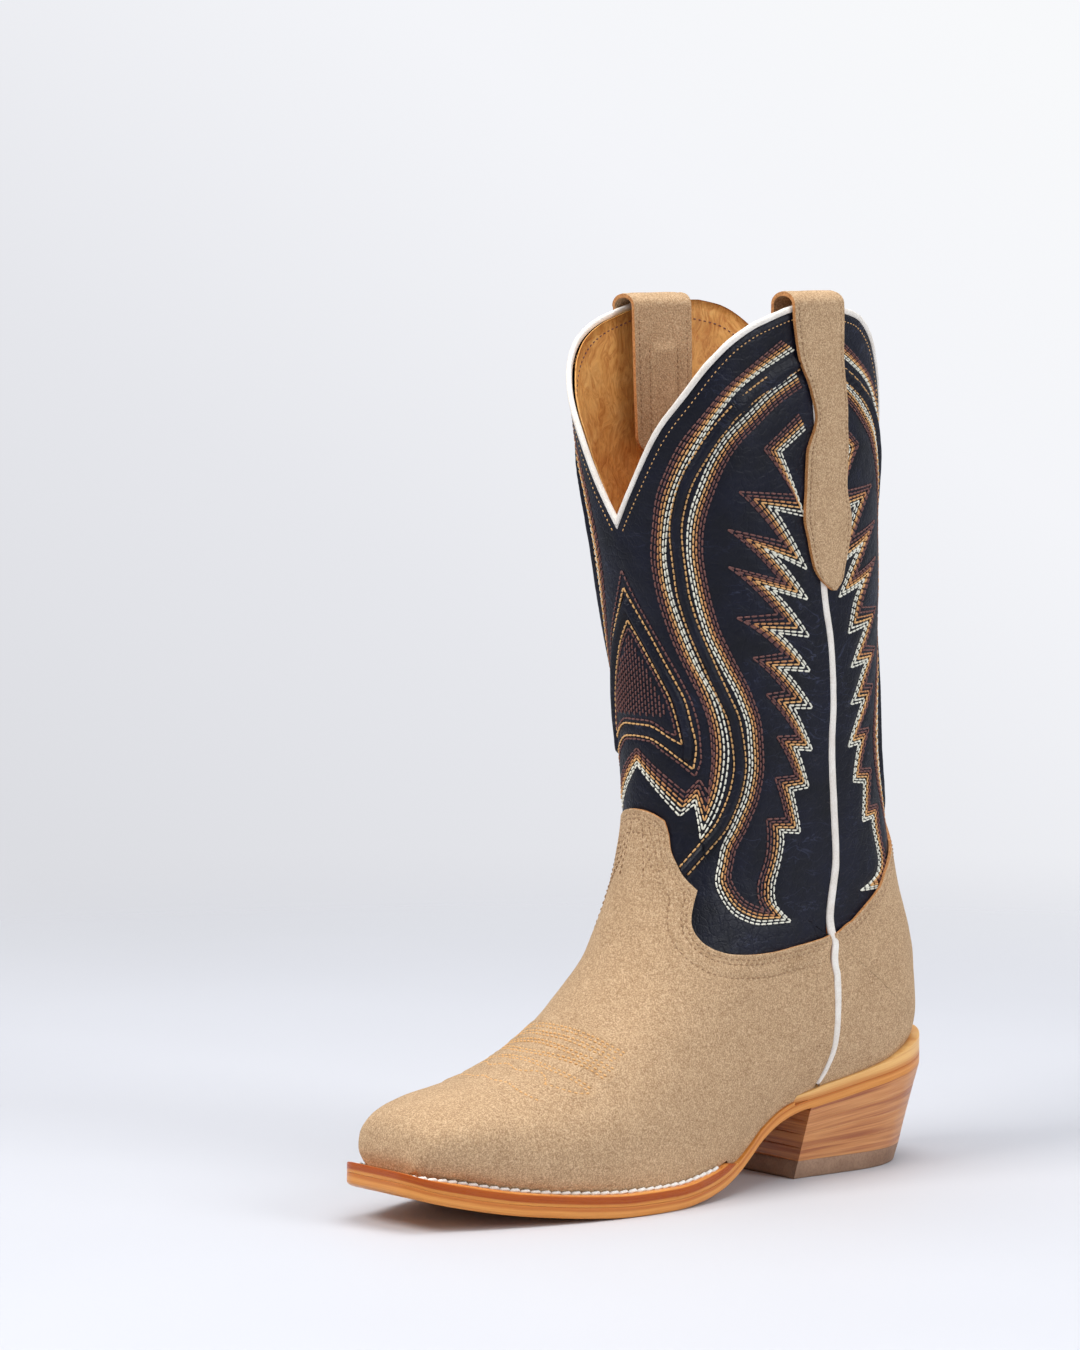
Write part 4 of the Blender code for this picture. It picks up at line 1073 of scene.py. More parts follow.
def swept(name, centres, wides, highs, half_wide, half_high, lows, squareness, nodes, finish):
    """Rounded strip along a path: lows is how far its underside lies from each centre."""
    angles = 2 * np.pi * np.arange(TUBE_SIDES) / TUBE_SIDES
    cos = np.sign(np.cos(angles)) * np.abs(np.cos(angles)) ** squareness
    sin = np.sign(np.sin(angles)) * np.abs(np.sin(angles)) ** squareness
    middle = centres + highs * (lows + half_high)[:, None]
    points = (middle[:, None] + wides[:, None] * (half_wide[:, None] * cos)[..., None]
              + highs[:, None] * (half_high[:, None] * sin)[..., None])
    count = len(centres)
    quads = grid_quads(count, TUBE_SIDES, closed=True)
    caps = np.array([range(TUBE_SIDES - 1, -1, -1),
                     range((count - 1) * TUBE_SIDES, count * TUBE_SIDES)])
    mesh = build_mesh(name, points.reshape(-1, 3), [quads, caps])
    recalculate_normals(mesh)
    return finish_piece(name, mesh, [finish], nodes)


def make_side_piping(label, side):
    """White piping down the side seam, from the ear to the sole."""
    rings = np.linspace(18.93, 12.3, 150)
    upper = np.stack([rings, curve(SEAM_SHAFT, rings)], 1)
    places = np.linspace(.895, 1.97, 160)
    path = sew_points(np.concatenate([upper, np.stack([seam_foot(places), places], 1)]), side, 1.5)
    u, s = rounded(path, 25).T
    points = skin(u, s, side)
    normals = unit(skin(u, s, side, 1.0) - points)
    runs = unit(np.gradient(points, axis=0))
    step = PIPING_STEP * np.clip((PIPING_SUEDE_TOP - points[:, 2]) / 12, 0, 1)
    wobble = 0.05 * ripple(points, 9, 31)
    half = PIPING_THIN + (PIPING_THICK - PIPING_THIN) * np.clip((points[:, 2] - 42) / 22, 0, 1)
    swept("white_piping_" + label, points, unit(np.cross(runs, normals)), normals,
          half + wobble, 1.05 + 0 * u, -1.15 + step + wobble, 0.75,
          ["side_piping_" + label], WHITE_PIPING)


def make_top_binding(label, front):
    """White piping along the top edge of one panel, from ear to ear."""
    seam = float(curve(SEAM_SHAFT, 18.9))
    share = np.linspace(0, 1, 190)
    if front:
        places = share[::-1] * (seam - SEAM_HALF_SLOT)
    else:
        places = (seam + SEAM_HALF_SLOT) * (1 - share) + 2 * share
    first, second = (-1, 1) if front else (1, -1)

    def along(offset):
        return np.concatenate([skin(top_line(places), places, first, offset),
                               skin(top_line(places), places, second, offset)[-2::-1]])

    edge = along(SHAFT_OFFSET - BINDING_DEPTH)
    normal = unit(along(1.0) - along(0.0))
    steps = unit(np.diff(edge, axis=0))
    before = np.concatenate([steps[:1], steps])
    after = np.concatenate([steps, steps[-1:]])
    runs = unit(before + after)
    ups = unit(np.cross(normal, runs))
    ups *= np.where(ups[:, 2:] > 0, 1, -1)
    stretch = 1 / np.maximum(np.sum(runs * before, 1), 0.5)
    wobble = 1 + 0.03 * ripple(edge, 8, 33)
    swept("white_binding_" + label, edge, unit(np.cross(runs, ups)), ups, 1.3 * wobble,
          1.35 * stretch * wobble, -0.3 * stretch, 0.7,
          [label + "_top_binding"], WHITE_PIPING)


STRAP_SHARES = np.linspace(-1, 1, 29)      # places across the strap, in half widths
STRAP_ROW = 1.25                           # height of one row of its mesh
STRAP_STITCH = 2.5
STRAP_LOOP_STATION, STRAP_LOOP_HALF = 200.0, 13.6
STRAP_CORNER = 7.0                         # radius of its inner end's corners
STRAP_EDGE_SEAM, STRAP_CHANNEL_SEAM = 0.84, 0.5


def strap_rows(side):
    """Points of the strap's outer face, row by row, and the rows where its loop starts and ends."""
    rows = []
    shift, wider, raised = STRAP_LEAN[side]

    def across(station, height, half, offset, lift=0.0):
        u, s = locate(station + STRAP_SHARES * half, min(height, STRAP_SHAFT_TOP))
        point = skin(u, s, side)
        out = unit((skin(u, s, side, 1.0) - point) * [1, 1, 0])
        rows.append(point + out * offset + np.array([0, 0, lift]))

    outline = np.array(STRAP_OUTSIDE)
    tip = [259.0, 259.2, 259.6, 260.3, 261.2, 262.4]         # closer rows for its round end
    loop_height = STRAP_LOOP_HEIGHT + raised
    for height in [*tip, *np.arange(264, min(381.6, loop_height), STRAP_ROW)]:
        station = float(curve(outline[:, :2], height))
        half = float(curve(outline[:, ::2], height))
        share = min(max((height - 330) / 50, 0), 1)
        top = min(max((height - 350) / 25, 0), 1)
        across(station + shift * top, height, half + wider * top,
               STRAP_OUTER_OFFSET + (STRAP_TOP_OUTSIDE - STRAP_OUTER_OFFSET) * share)
    outside = len(rows)
    middle = (STRAP_TOP_OUTSIDE + STRAP_TOP_INSIDE) / 2
    radius = (STRAP_TOP_OUTSIDE - STRAP_TOP_INSIDE) / 2
    for turn in np.linspace(0, np.pi, 18):
        across(STRAP_LOOP_STATION + shift, STRAP_SHAFT_TOP, STRAP_LOOP_HALF + wider,
               middle + radius * math.cos(turn),
               loop_height - STRAP_SHAFT_TOP + STRAP_ARCH * math.sin(turn))
    loop = len(rows)
    corner = STRAP_CORNER
    for height in [*np.arange(379, STRAP_INSIDE_END + corner, -STRAP_ROW),
                   *(STRAP_INSIDE_END + corner * (1 - np.sin(np.linspace(0, np.pi / 2, 7))))]:
        cut = max(0.0, STRAP_INSIDE_END + corner - height)
        half = STRAP_LOOP_HALF + wider - corner + math.sqrt(max(corner ** 2 - cut ** 2, 0))
        across(STRAP_LOOP_STATION + shift, height, half, STRAP_TOP_INSIDE)
    return np.array(rows), outside, loop


def grid_normals(grid):
    """Unit normals of a grid of points."""
    return unit(np.cross(np.gradient(grid, axis=1), np.gradient(grid, axis=0)))


def make_pull_strap(label, side):
    """Mule-ear strap: up the outside, over the ear in a loop, and down inside."""
    grid, outside, loop = strap_rows(side)
    normals = grid_normals(grid)
    if np.dot(normals[outside // 2, grid.shape[1] // 2], [side, 0, 0]) < 0:
        normals = -normals
    rows, columns = grid.shape[:2]
    row = np.arange(rows)[:, None]
    inside = np.clip((row - loop - 12) / 3, 0, 1) * (row > loop)
    across = np.abs(STRAP_SHARES)[None]
    channel = 0.9 * inside * np.clip((0.42 - across) / 0.07, 0, 1)
    edge = -0.3 * np.clip((across - 0.9) / 0.1, 0, 1) ** 2
    sewn = -0.4 * bell(across - STRAP_EDGE_SEAM, 0.05)
    sewn = sewn - 0.35 * bell(across - STRAP_CHANNEL_SEAM, 0.04) * inside
    lift = channel + edge + sewn + 0.15 * ripple(grid, 22, 41)
    outer = grid + normals * lift[..., None]
    inner = grid - normals * STRAP_THICK
    count = rows * columns
    face = grid_quads(rows, columns)
    border = ([(0, j) for j in range(columns)] + [(i, columns - 1) for i in range(1, rows)]
              + [(rows - 1, j) for j in range(columns - 2, -1, -1)]
              + [(i, 0) for i in range(rows - 2, 0, -1)])
    here = np.array([i * columns + j for i, j in border])
    after = np.roll(here, -1)
    rim = np.stack([here, after, after + count, here + count], 1)
    mesh = build_mesh("strap_" + label, np.concatenate([outer, inner]).reshape(-1, 3),
                      [face, face[:, ::-1] + count, rim],
                      [0] * (2 * len(face)) + [1] * len(rim))
    recalculate_normals(mesh)
    finish_piece("strap_" + label, mesh, [SUEDE, RAW_EDGE], ["pull_strap_" + label],
                 sharp=50)
    sew_strap(outer, normals, outside, loop)


def sew_strap(outer, normals, outside, loop):
    """Stitch lines near the strap's edges outside, and beside the channel inside."""
    rows = len(outer)
    runs = ((STRAP_EDGE_SEAM, 6, outside), (STRAP_CHANNEL_SEAM, loop + 14, rows - 4),
            (STRAP_EDGE_SEAM, loop + 4, rows - 8))
    for share, first, last in ((sign * run[0], *run[1:]) for run in runs for sign in (-1, 1)):
        column = (share + 1) / 2 * (len(STRAP_SHARES) - 1)
        k = int(column)
        t = column - k
        line = outer[first:last, k] * (1 - t) + outer[first:last, k + 1] * t
        normal = normals[first:last, k]
        path = resampled(np.concatenate([line, normal * 1e-3], 1), STRAP_STITCH)
        sew_chain(thread("buff", "straps"), path[:, :3], path[:, 3:] * 1e3, 0.28, 0.28, 0.9)


# ---------------------------------------------------------------- sole and heel
ACROSS_FRONT = 16                          # points across half of a straight end
SOLE_STEP = 1.4                            # between outline points, on average
HEEL_POINTS = 56                           # from the breast to the rear, on each side
HEEL_HOLLOW = 1.0                          # of the breast


def sole_half_loop(side, first, last):
    """Outline points (x, station) of one side, from the front centre to the heel."""
    count = int((last - first) / SOLE_STEP)
    turn = (1 - np.cos(np.linspace(0, np.pi, count))) / 2
    y = first + (last - first) * (0.6 * np.linspace(0, 1, count) + 0.4 * turn)
    outline = np.stack([side * half_sole(y, side), y], 1)
    if first > 0:
        return outline
    middle = (float(half_sole(0, 1)) - float(half_sole(0, -1))) / 2
    front = np.linspace(middle, outline[0, 0], ACROSS_FRONT)[:-1]
    return np.concatenate([np.stack([front, 0 * front], 1), outline])


def inward(loop, closed):
    """Inward unit normals of a loop that runs from lateral heel round the toe to medial heel."""
    if closed:
        run = np.roll(loop, -1, 0) - np.roll(loop, 1, 0)
    else:
        run = np.gradient(loop, axis=0)
    normal = unit(np.stack([-run[:, 1], run[:, 0]], 1))
    centre = np.array([0.0, loop[:, 1].mean()])
    return normal * np.sign(np.sum((centre - loop) * normal))


def ring_solid(name, rings, levels, closed, finish, nodes, fill=True, sharp=35):
    """Solid through rings around an outline, with the height over the sole kept as its grain."""
    rows, count = len(rings), len(rings[0])
    quads = grid_quads(rows, count, closed=closed)
    groups = [quads]
    if fill:
        half = count // 2
        k = np.arange(half - 1)
        for base, flip in ((0, False), ((rows - 1) * count, True)):
            ends = np.stack([base + k, base + k + 1, base + count - 2 - k, base + count - 1 - k], 1)
            groups.append(ends[:, ::-1] if flip else ends)
    if not closed:
        groups.append(np.array([[i * count for i in range(rows)]]))
        groups.append(np.array([[i * count + count - 1 for i in range(rows)][::-1]]))
    points = np.concatenate(rings)
    mesh = build_mesh(name, points, groups)
    grain = mesh.attributes.new("grain", "FLOAT_VECTOR", "POINT")
    values = np.stack([points[:, 0], points[:, 1], np.concatenate(levels)], 1)
    grain.data.foreach_set("vector", values.astype(np.float32).ravel())
    recalculate_normals(mesh)
    return finish_piece(name, mesh, [finish], nodes, sharp=sharp)


def edge_rings(loop, closed, profile):
    """Rings from (inset, height function) pairs around an outline."""
    normals = inward(loop, closed)
    rings, levels = [], []
    for inset, height in profile:
        place = loop + normals * (inset(loop[:, 1])[:, None] if callable(inset) else inset)
        z = height(place[:, 1])
        rings.append(np.stack([place[:, 0], place[:, 1] - HALF_LENGTH, z], 1))
        levels.append(z - curve(UNDERSIDE, place[:, 1]))
    return rings, levels


def make_outsole():
    lateral, medial = sole_half_loop(1, 0, 301.4), sole_half_loop(-1, 0, 301.4)
    loop = rounded(np.concatenate([lateral[::-1], medial]), 3)

    def above(rise):
        return lambda y: curve(UNDERSIDE, y) + rise

    def below(drop):
        return lambda y: outsole_top(y) - drop

    def bevel(inset):
        return lambda y: inset * (1 - 0.92 * np.clip((y - HEEL_BREAST_TOP + 2) / 3, 0, 1))

    profile = [(bevel(1.5), above(0)), (bevel(0.8), above(0.12)), (bevel(0.3), above(0.5)),
               (bevel(0.05), above(1.0)), (0, above(1.6)), (0, above(2.6)), (0, below(0.4)),
               (0.04, below(0.12)), (0.16, below(0.02))]
    rings, levels = edge_rings(loop, True, profile)
    ring_solid("leather_outsole", rings, levels, True, SOLE_EDGE, ["outsole"])


def at_waist(y):
    """0 along the stitched welt, 1 where only its low strip shows."""
    share = np.clip((y - WELT_END + WELT_FADE / 3) / WELT_FADE, 0, 1)
    return share * share * (3 - 2 * share)


def over_outsole(y):
    """Height of the underside of the welt and the rand."""
    return outsole_top(y) + 0.03


def under_upper(y):
    """Inset at which the welt and the rand end under the upper."""
    return curve(WELT_WIDTH, y) + 3.2


def welt_inset(extra):
    """Inset of the welt's outer face, with rounded edges that fade out at the waist."""
    return lambda y: extra * (1 - 0.85 * at_waist(y))


def make_welt():
    lateral, medial = sole_half_loop(1, 0, WAIST_RAND - 1), sole_half_loop(-1, 0, WAIST_RAND - 1)
    loop = rounded(np.concatenate([lateral[::-1], medial]), 3)

    def top(drop):
        return lambda y: (low(y) + (curve(FEATHER, y) - low(y) - drop) * (1 - at_waist(y))
                          + WAIST_STRIP * (1 - 0.25 * drop) * at_waist(y))

    low = over_outsole
    profile = [(under_upper, low), (welt_inset(0.16), low),
               (welt_inset(0.04), lambda y: low(y) + 0.1), (welt_inset(0.0), lambda y: low(y) + 0.4),
               (welt_inset(0.0), top(2.2)), (welt_inset(0.0), top(1.0)),
               (welt_inset(0.12), top(0.4)), (welt_inset(0.5), top(0.1)), (welt_inset(1.2), top(0)),
               (under_upper, top(0))]
    rings, levels = edge_rings(loop, False, profile)
    ring_solid("storm_welt", rings, levels, False, WELT_EDGE, ["welt"], fill=False)


def make_rand():
    """Heel rand: the ledge over the heel, which widens and rises to the back."""
    lateral, medial = (sole_half_loop(side, WAIST_RAND - 0.9, 301.4) for side in (1, -1))
    loop = rounded(np.concatenate([lateral, medial[::-1]]), 3)

    def step(extra):
        """Inset of its outer face, which starts under the upper and comes out at the breast."""
        return lambda y: extra + (curve(WELT_WIDTH, y) + 0.4) * np.clip((214 - y) / 8, 0, 1)

    def top(drop):
        return lambda y: curve(FEATHER, y) + curve(LEDGE_RISE, y) - drop

    low = over_outsole
    profile = [(under_upper, low), (step(0.12), low),
               (step(0.02), lambda y: low(y) + 0.12), (step(0.0), top(1.0)),
               (step(0.03), top(0.5)), (step(0.15), top(0.2)), (step(0.45), top(0)),
               (lambda y: curve(WELT_WIDTH, y) * 0.6 + 1.0, top(0)), (under_upper, top(0.2))]
    rings, levels = edge_rings(loop, False, profile)
    ring_solid("heel_ledge", rings, levels, False, RAND_EDGE, ["heel_rand"],
               fill=False)


def heel_outline(share, inset):
    """Outline (x, station) of the heel at a share of its height, and the stations at its top."""
    front = HEEL_BREAST_BOTTOM + (HEEL_BREAST_TOP - HEEL_BREAST_BOTTOM) * share
    rear = HEEL_REAR_BOTTOM + (HEEL_REAR_TOP - HEEL_REAR_BOTTOM) * share ** 1.2
    taper = HEEL_TAPER + (1 - HEEL_TAPER) * share
    turn = np.sin(np.linspace(0, np.pi / 2, HEEL_POINTS))
    y_top = HEEL_BREAST_TOP + (HEEL_REAR_TOP - HEEL_BREAST_TOP) * turn
    along = (y_top - HEEL_BREAST_TOP) / (HEEL_REAR_TOP - HEEL_BREAST_TOP)
    y = front + along * (rear - front)
    halves = []
    for side in (1, -1):
        x = side * half_sole(y_top, side) * taper
        breast = np.linspace(0, x[0], ACROSS_FRONT)[:-1]
        hollow = HEEL_HOLLOW * (1 - (breast / x[0]) ** 2)
        halves.append(np.stack([np.concatenate([breast, x]),
                                np.concatenate([front + hollow, y]),
                                np.concatenate([0 * breast + HEEL_BREAST_TOP, y_top])], 1))
    loop = np.concatenate([halves[0][::-1], halves[1]])
    return loop[:, :2] + inward(loop[:, :2], True) * inset, loop[:, 2]


def ring_points(outline, heights):
    """Points of a ring from its outline (x, station) and heights."""
    return np.stack([outline[:, 0], outline[:, 1] - HALF_LENGTH, heights], 1)


# (height, inset) of the cap's rings and (share of the height, inset) of a lift's rings
CAP_PROFILE = [(0, 0.7), (0.25, 0.2), (0.7, 0), (4, 0), (CAP_THICK - 0.3, 0),
               (CAP_THICK - 0.04, 0.15)]
LIFT_PROFILE = [(0.002, 0.12), (0.04, 0.03), (0.1, 0), (0.5, 0), (0.9, 0), (0.96, 0.02),
                (0.998, 0.1)]


def make_heel():
    """Rubber cap, and the lifts that share the height left over it, with their own grain."""
    rings, levels = [], []
    for height, inset in CAP_PROFILE:
        outline, _ = heel_outline(height / HEEL_HEIGHT, inset)
        levels.append(np.full(len(outline), float(height)))
        rings.append(ring_points(outline, levels[-1]))
    ring_solid("rubber_cap", rings, levels, True, RUBBER, ["heel_cap"])
    cap_share = CAP_THICK / HEEL_HEIGHT
    for k in range(LIFT_COUNT):
        rings, levels = [], []
        for part, inset in LIFT_PROFILE:
            share = (k + part) / LIFT_COUNT
            outline, top_stations = heel_outline(cap_share + (1 - cap_share) * share, inset)
            heights = CAP_THICK + share * (curve(UNDERSIDE, top_stations) - CAP_THICK)
            rings.append(ring_points(outline, heights))
            levels.append(np.full(len(outline), share * (HEEL_HEIGHT - CAP_THICK)))
        ring_solid(f"stacked_lift_{k + 1}", rings, levels, True, STACK,
                   [f"heel_lift_{k + 1}"])


WELT_STITCH, WELT_STITCH_HALF, WELT_STITCH_HIGH = 4.6, 0.85, 0.72
WELT_STITCH_END = 8.6                      # ring the line is drawn to, past the last stitch


def away_from_foot(run, points):
    """Level unit vectors square to a line round the toe, away from the middle of the foot."""
    out = unit(np.cross(run, [0, 0, 1.0]))
    return out * np.sign(np.sum(out * (points - [0, -20, 0]), 1))[:, None]


def sew_welt():
    """White stitches that stand on the welt against the suede, as far as the waist."""
    for side in (1, -1):
        u = np.linspace(0, WELT_STITCH_END, 900)
        points = skin(u, 2.0 + 0 * u, side, SUEDE_OFFSET)
        if side > 0:                         # the toe's short front edge goes with this side
            front, other = (skin(np.zeros(1), np.full(1, 2.0), k, SUEDE_OFFSET) for k in (1, -1))
            t = np.linspace(0, 1, 30)[:, None]
            points = np.concatenate([other * (1 - t) + front * t, points])
        points[:, 2] = curve(FEATHER, points[:, 1] + HALF_LENGTH) + 0.5
        out = away_from_foot(unit(np.gradient(points, axis=0) + 1e-9), points)
        toe = np.clip((24 - points[:, 1:2] - HALF_LENGTH) / 16, 0, 1)
        points = resampled(points + out * (0.75 + 3.2 * toe), WELT_STITCH)
        points = points[points[:, 1] + HALF_LENGTH < WELT_END - 4]
        run = unit(np.diff(points, axis=0))
        out = away_from_foot(run, points[:-1])
        slant = np.array([0, 0, 0.35])
        starts = points[:-1] - 0.1 * run - slant
        ends = points[1:] + 0.1 * run + slant
        thread("white", "welt").add(starts, ends, out + [0, 0, 0.7], WELT_STITCH_HALF,
                                    WELT_STITCH_HIGH)


# ---------------------------------------------------------------- finishes
def linear(red, green, blue):
    """Linear colour of a screen colour from 0 to 255."""
    return tuple(((c / 255 + 0.055) / 1.055) ** 2.4 if c > 10 else c / 3295
                 for c in (red, green, blue)) + (1.0,)


def add_node(tree, kind, sockets=None, **settings):
    """New node with its settings, and its inputs' values or links by name or number."""
    node = tree.nodes.new("ShaderNode" + kind)
    for key, value in settings.items():
        setattr(node, key, value)
    for key, value in (sockets or {}).items():
        if isinstance(value, bpy.types.NodeSocket):
            tree.links.new(value, node.inputs[key])
        else:
            node.inputs[key].default_value = value
    return node


def add_ramp(tree, value, stops):
    """Colour output of a ramp with stops of (place, screen colour or grey level)."""
    node = add_node(tree, "ValToRGB", {"Fac": value})
    elements = node.color_ramp.elements
    while len(elements) < len(stops):
        elements.new(0.5)
    for element, (place, colour) in zip(elements, stops):
        element.position = place
        element.color = linear(*colour) if isinstance(colour, tuple) else (colour,) * 3 + (1.0,)
    return node.outputs["Color"]


class Finish:
    """A material with its shader and a few short calls for common nodes."""

    def __init__(self, name, roughness=0.5, metallic=0.0):
        self.material = bpy.data.materials.new(name)
        self.material.use_nodes = True
        self.tree = self.material.node_tree
        self.shader = self.tree.nodes["Principled BSDF"]
        self.set(Roughness=roughness, Metallic=metallic)
        self.place = self.node("TexCoord").outputs["Object"]

    def link(self, output, target):
        self.tree.links.new(output, target)

    def node(self, kind, sockets=None, **settings):
        return add_node(self.tree, kind, sockets, **settings)

    def attribute(self, name):
        return self.node("Attribute", attribute_name=name).outputs["Vector"]

    def stretched(self, vector, scale):
        return self.node("Mapping", {"Vector": vector, "Scale": scale}).outputs["Vector"]

    def noise(self, scale, detail=3.0, roughness=0.55, vector=None, distortion=0.0):
        return self.node("TexNoise", {
            "Vector": vector or self.place, "Scale": scale, "Detail": detail,
            "Roughness": roughness, "Distortion": distortion}).outputs["Fac"]

    def cells(self, scale, vector):
        return self.node("TexVoronoi", {"Vector": vector, "Scale": scale},
                         feature="DISTANCE_TO_EDGE").outputs["Distance"]

    def warped(self, scale, amount):
        """Place moved about by noise."""
        noise = self.node("TexNoise", {"Vector": self.place, "Scale": scale})
        return self.node("VectorMath", {0: noise.outputs["Color"], 1: (amount,) * 3,
                                        2: self.place}, operation="MULTIPLY_ADD").outputs["Vector"]

    def ramp(self, value, stops):
        return add_ramp(self.tree, value, stops)

    def math(self, operation, first, second):
        return self.node("Math", {0: first, 1: second}, operation=operation).outputs[0]

    def mix(self, share, first, second, blend="MIX"):
        """Mix of two colour outputs; the second may also be a screen colour."""
        second = linear(*second) if isinstance(second, tuple) else second
        return self.node("Mix", {0: share, 6: first, 7: second}, data_type="RGBA",
                         blend_type=blend).outputs[2]

    def colour(self, output):
        self.link(output, self.shader.inputs["Base Color"])

    def rough(self, value, low, high):
        self.link(self.ramp(value, [(0.3, low), (0.7, high)]), self.shader.inputs["Roughness"])

    def bump(self, *layers):
        """Bump layers of (height output, strength, distance in metres)."""
        below = {}
        for height, strength, distance in layers:
            node = self.node("Bump", {"Height": height, "Strength": strength,
                                      "Distance": distance, **below})
            below = {"Normal": node.outputs["Normal"]}
        self.link(node.outputs["Normal"], self.shader.inputs["Normal"])

    def set(self, **inputs):
        """Sets shader inputs by name, with _ for each space."""
        for name, value in inputs.items():
            self.shader.inputs[name.replace("_", " ")].default_value = value


def suede():
    finish = Finish("tan_suede", 0.93)
    finish.set(Specular_IOR_Level=0.15, Sheen_Weight=0.12, Sheen_Roughness=0.4,
               Sheen_Tint=linear(240, 220, 190))
    nap = finish.noise(1500, 2, 0.65)
    patches = finish.noise(95, 3, 0.6)
    clouds = finish.noise(28, 2)
    tufts = finish.noise(620, 3, 0.6)
    base = finish.ramp(clouds, [(0.3, (172, 140, 107)), (0.7, (200, 166, 129))])
    brushed = finish.ramp(patches, [(0.32, (163, 130, 96)), (0.68, (209, 175, 138))])
    soft = finish.mix(0.5, base, brushed)
    clumps = finish.ramp(tufts, [(0.36, (152, 120, 88)), (0.5, (188, 155, 119)),
                                 (0.64, (216, 186, 150))])
    speck = finish.ramp(nap, [(0.36, (122, 92, 64)), (0.5, (188, 155, 118)),
                              (0.64, (240, 212, 176))])
    finish.colour(finish.mix(0.42, finish.mix(0.4, soft, clumps), speck))
    finish.bump((patches, 0.25, 0.0006), (tufts, 0.35, 0.0003), (nap, 0.8, 0.0004))
    return finish.material


def raw_edge():
    finish = Finish("raw_suede_edge", 0.85)
    fibre = finish.noise(1300, 3)
    finish.colour(finish.ramp(fibre, [(0.35, (164, 104, 56)), (0.65, (212, 152, 94))]))
    finish.bump((fibre, 0.6, 0.0003))
    return finish.material


def dark_leather():
    finish = Finish("dark_leather", 0.42)
    finish.set(Specular_IOR_Level=0.26)
    place = finish.warped(160, 0.006)
    creases = finish.cells(240, place)
    fine = finish.cells(700, finish.warped(500, 0.0015))
    pebble = finish.noise(1500, 3)
    tone = finish.noise(60, 4)
    base = finish.ramp(tone, [(0.3, (5, 7, 18)), (0.7, (11, 14, 33))])
    flow = finish.noise(1.0, 3, 0.55, distortion=0.6,
                        vector=finish.stretched(finish.warped(18, 0.04), (60, 60, 190)))
    where = finish.ramp(finish.noise(30, 2), [(0.46, 0.0), (0.64, 1.0)])
    line = finish.ramp(flow, [(0.485, 0.0), (0.5, 1.0), (0.515, 0.0)])
    crease = finish.mix(1.0, line, where, "MULTIPLY")
    finish.colour(finish.mix(crease, base, (48, 52, 72)))
    finish.rough(finish.noise(400, 3), 0.34, 0.5)
    edge = finish.ramp(creases, [(0.0, 0.0), (0.12, 0.9), (0.4, 1.0)])
    fine_edge = finish.ramp(fine, [(0.0, 0.0), (0.2, 1.0)])
    finish.bump((crease, -0.5, 0.0004), (edge, 0.45, 0.00025), (fine_edge, 0.35, 0.00012),
                (pebble, 0.3, 0.00012))
    return finish.material


def lining_leather():
    finish = Finish("tan_lining", 0.62)
    blotch = finish.noise(45, 4, 0.6, distortion=0.6)
    pores = finish.noise(1100, 3)
    hairs = finish.noise(1.0, 4, 0.65, distortion=1.5,
                         vector=finish.stretched(finish.warped(30, 0.03), (420, 420, 110)))
    tone = finish.ramp(blotch, [(0.3, (216, 150, 72)), (0.5, (236, 178, 98)),
                                (0.7, (248, 202, 126))])
    streaks = finish.ramp(hairs, [(0.35, (205, 168, 128)), (0.6, (255, 255, 255))])
    finish.colour(finish.mix(0.8, tone, streaks, "MULTIPLY"))
    finish.rough(pores, 0.5, 0.7)
    finish.bump((blotch, 0.5, 0.0016), (hairs, 0.5, 0.0004), (pores, 0.4, 0.00015))
    return finish.material


def white_leather():
    finish = Finish("white_piping", 0.6)
    fibre = finish.noise(1300, 4)
    stain = finish.noise(120, 3)
    tone = finish.ramp(stain, [(0.35, (224, 214, 202)), (0.65, (243, 238, 230))])
    grain = finish.ramp(fibre, [(0.3, (214, 203, 190)), (0.6, (247, 243, 236))])
    finish.colour(finish.mix(0.4, tone, grain))
    finish.bump((fibre, 0.6, 0.0003))
    return finish.material


def sole_edge(name, stops, streaks, gloss):
    """Polished leather edge whose colour follows its height over the sole (mm)."""
    finish = Finish(name, gloss)
    grain = finish.attribute("grain")
    height = finish.node("SeparateXYZ", {0: grain})
    wander = finish.noise(0.05, 3, vector=grain)
    level = finish.math("ADD", height.outputs[2], finish.math("MULTIPLY", wander, 0.5))
    band = finish.ramp(finish.math("DIVIDE", level, 12.0), [(h / 12.0, c) for h, c in stops])
    layers = finish.noise(1.0, 4, 0.6, vector=finish.stretched(grain, (0.03, 0.03, 2.2)))
    fibre = finish.noise(1.0, 3, vector=finish.stretched(grain, (0.25, 0.25, 5.0)))
    shade = finish.ramp(layers, [(0.3, streaks), (0.6, (255, 255, 255))])
    finish.colour(finish.mix(0.6, band, shade, "MULTIPLY"))
    finish.rough(fibre, gloss - 0.08, gloss + 0.12)
    finish.bump((layers, 0.2, 0.0002), (fibre, 0.25, 0.0001))
    finish.set(Specular_IOR_Level=0.3, Coat_Weight=0.06, Coat_Roughness=0.25)
    return finish.material


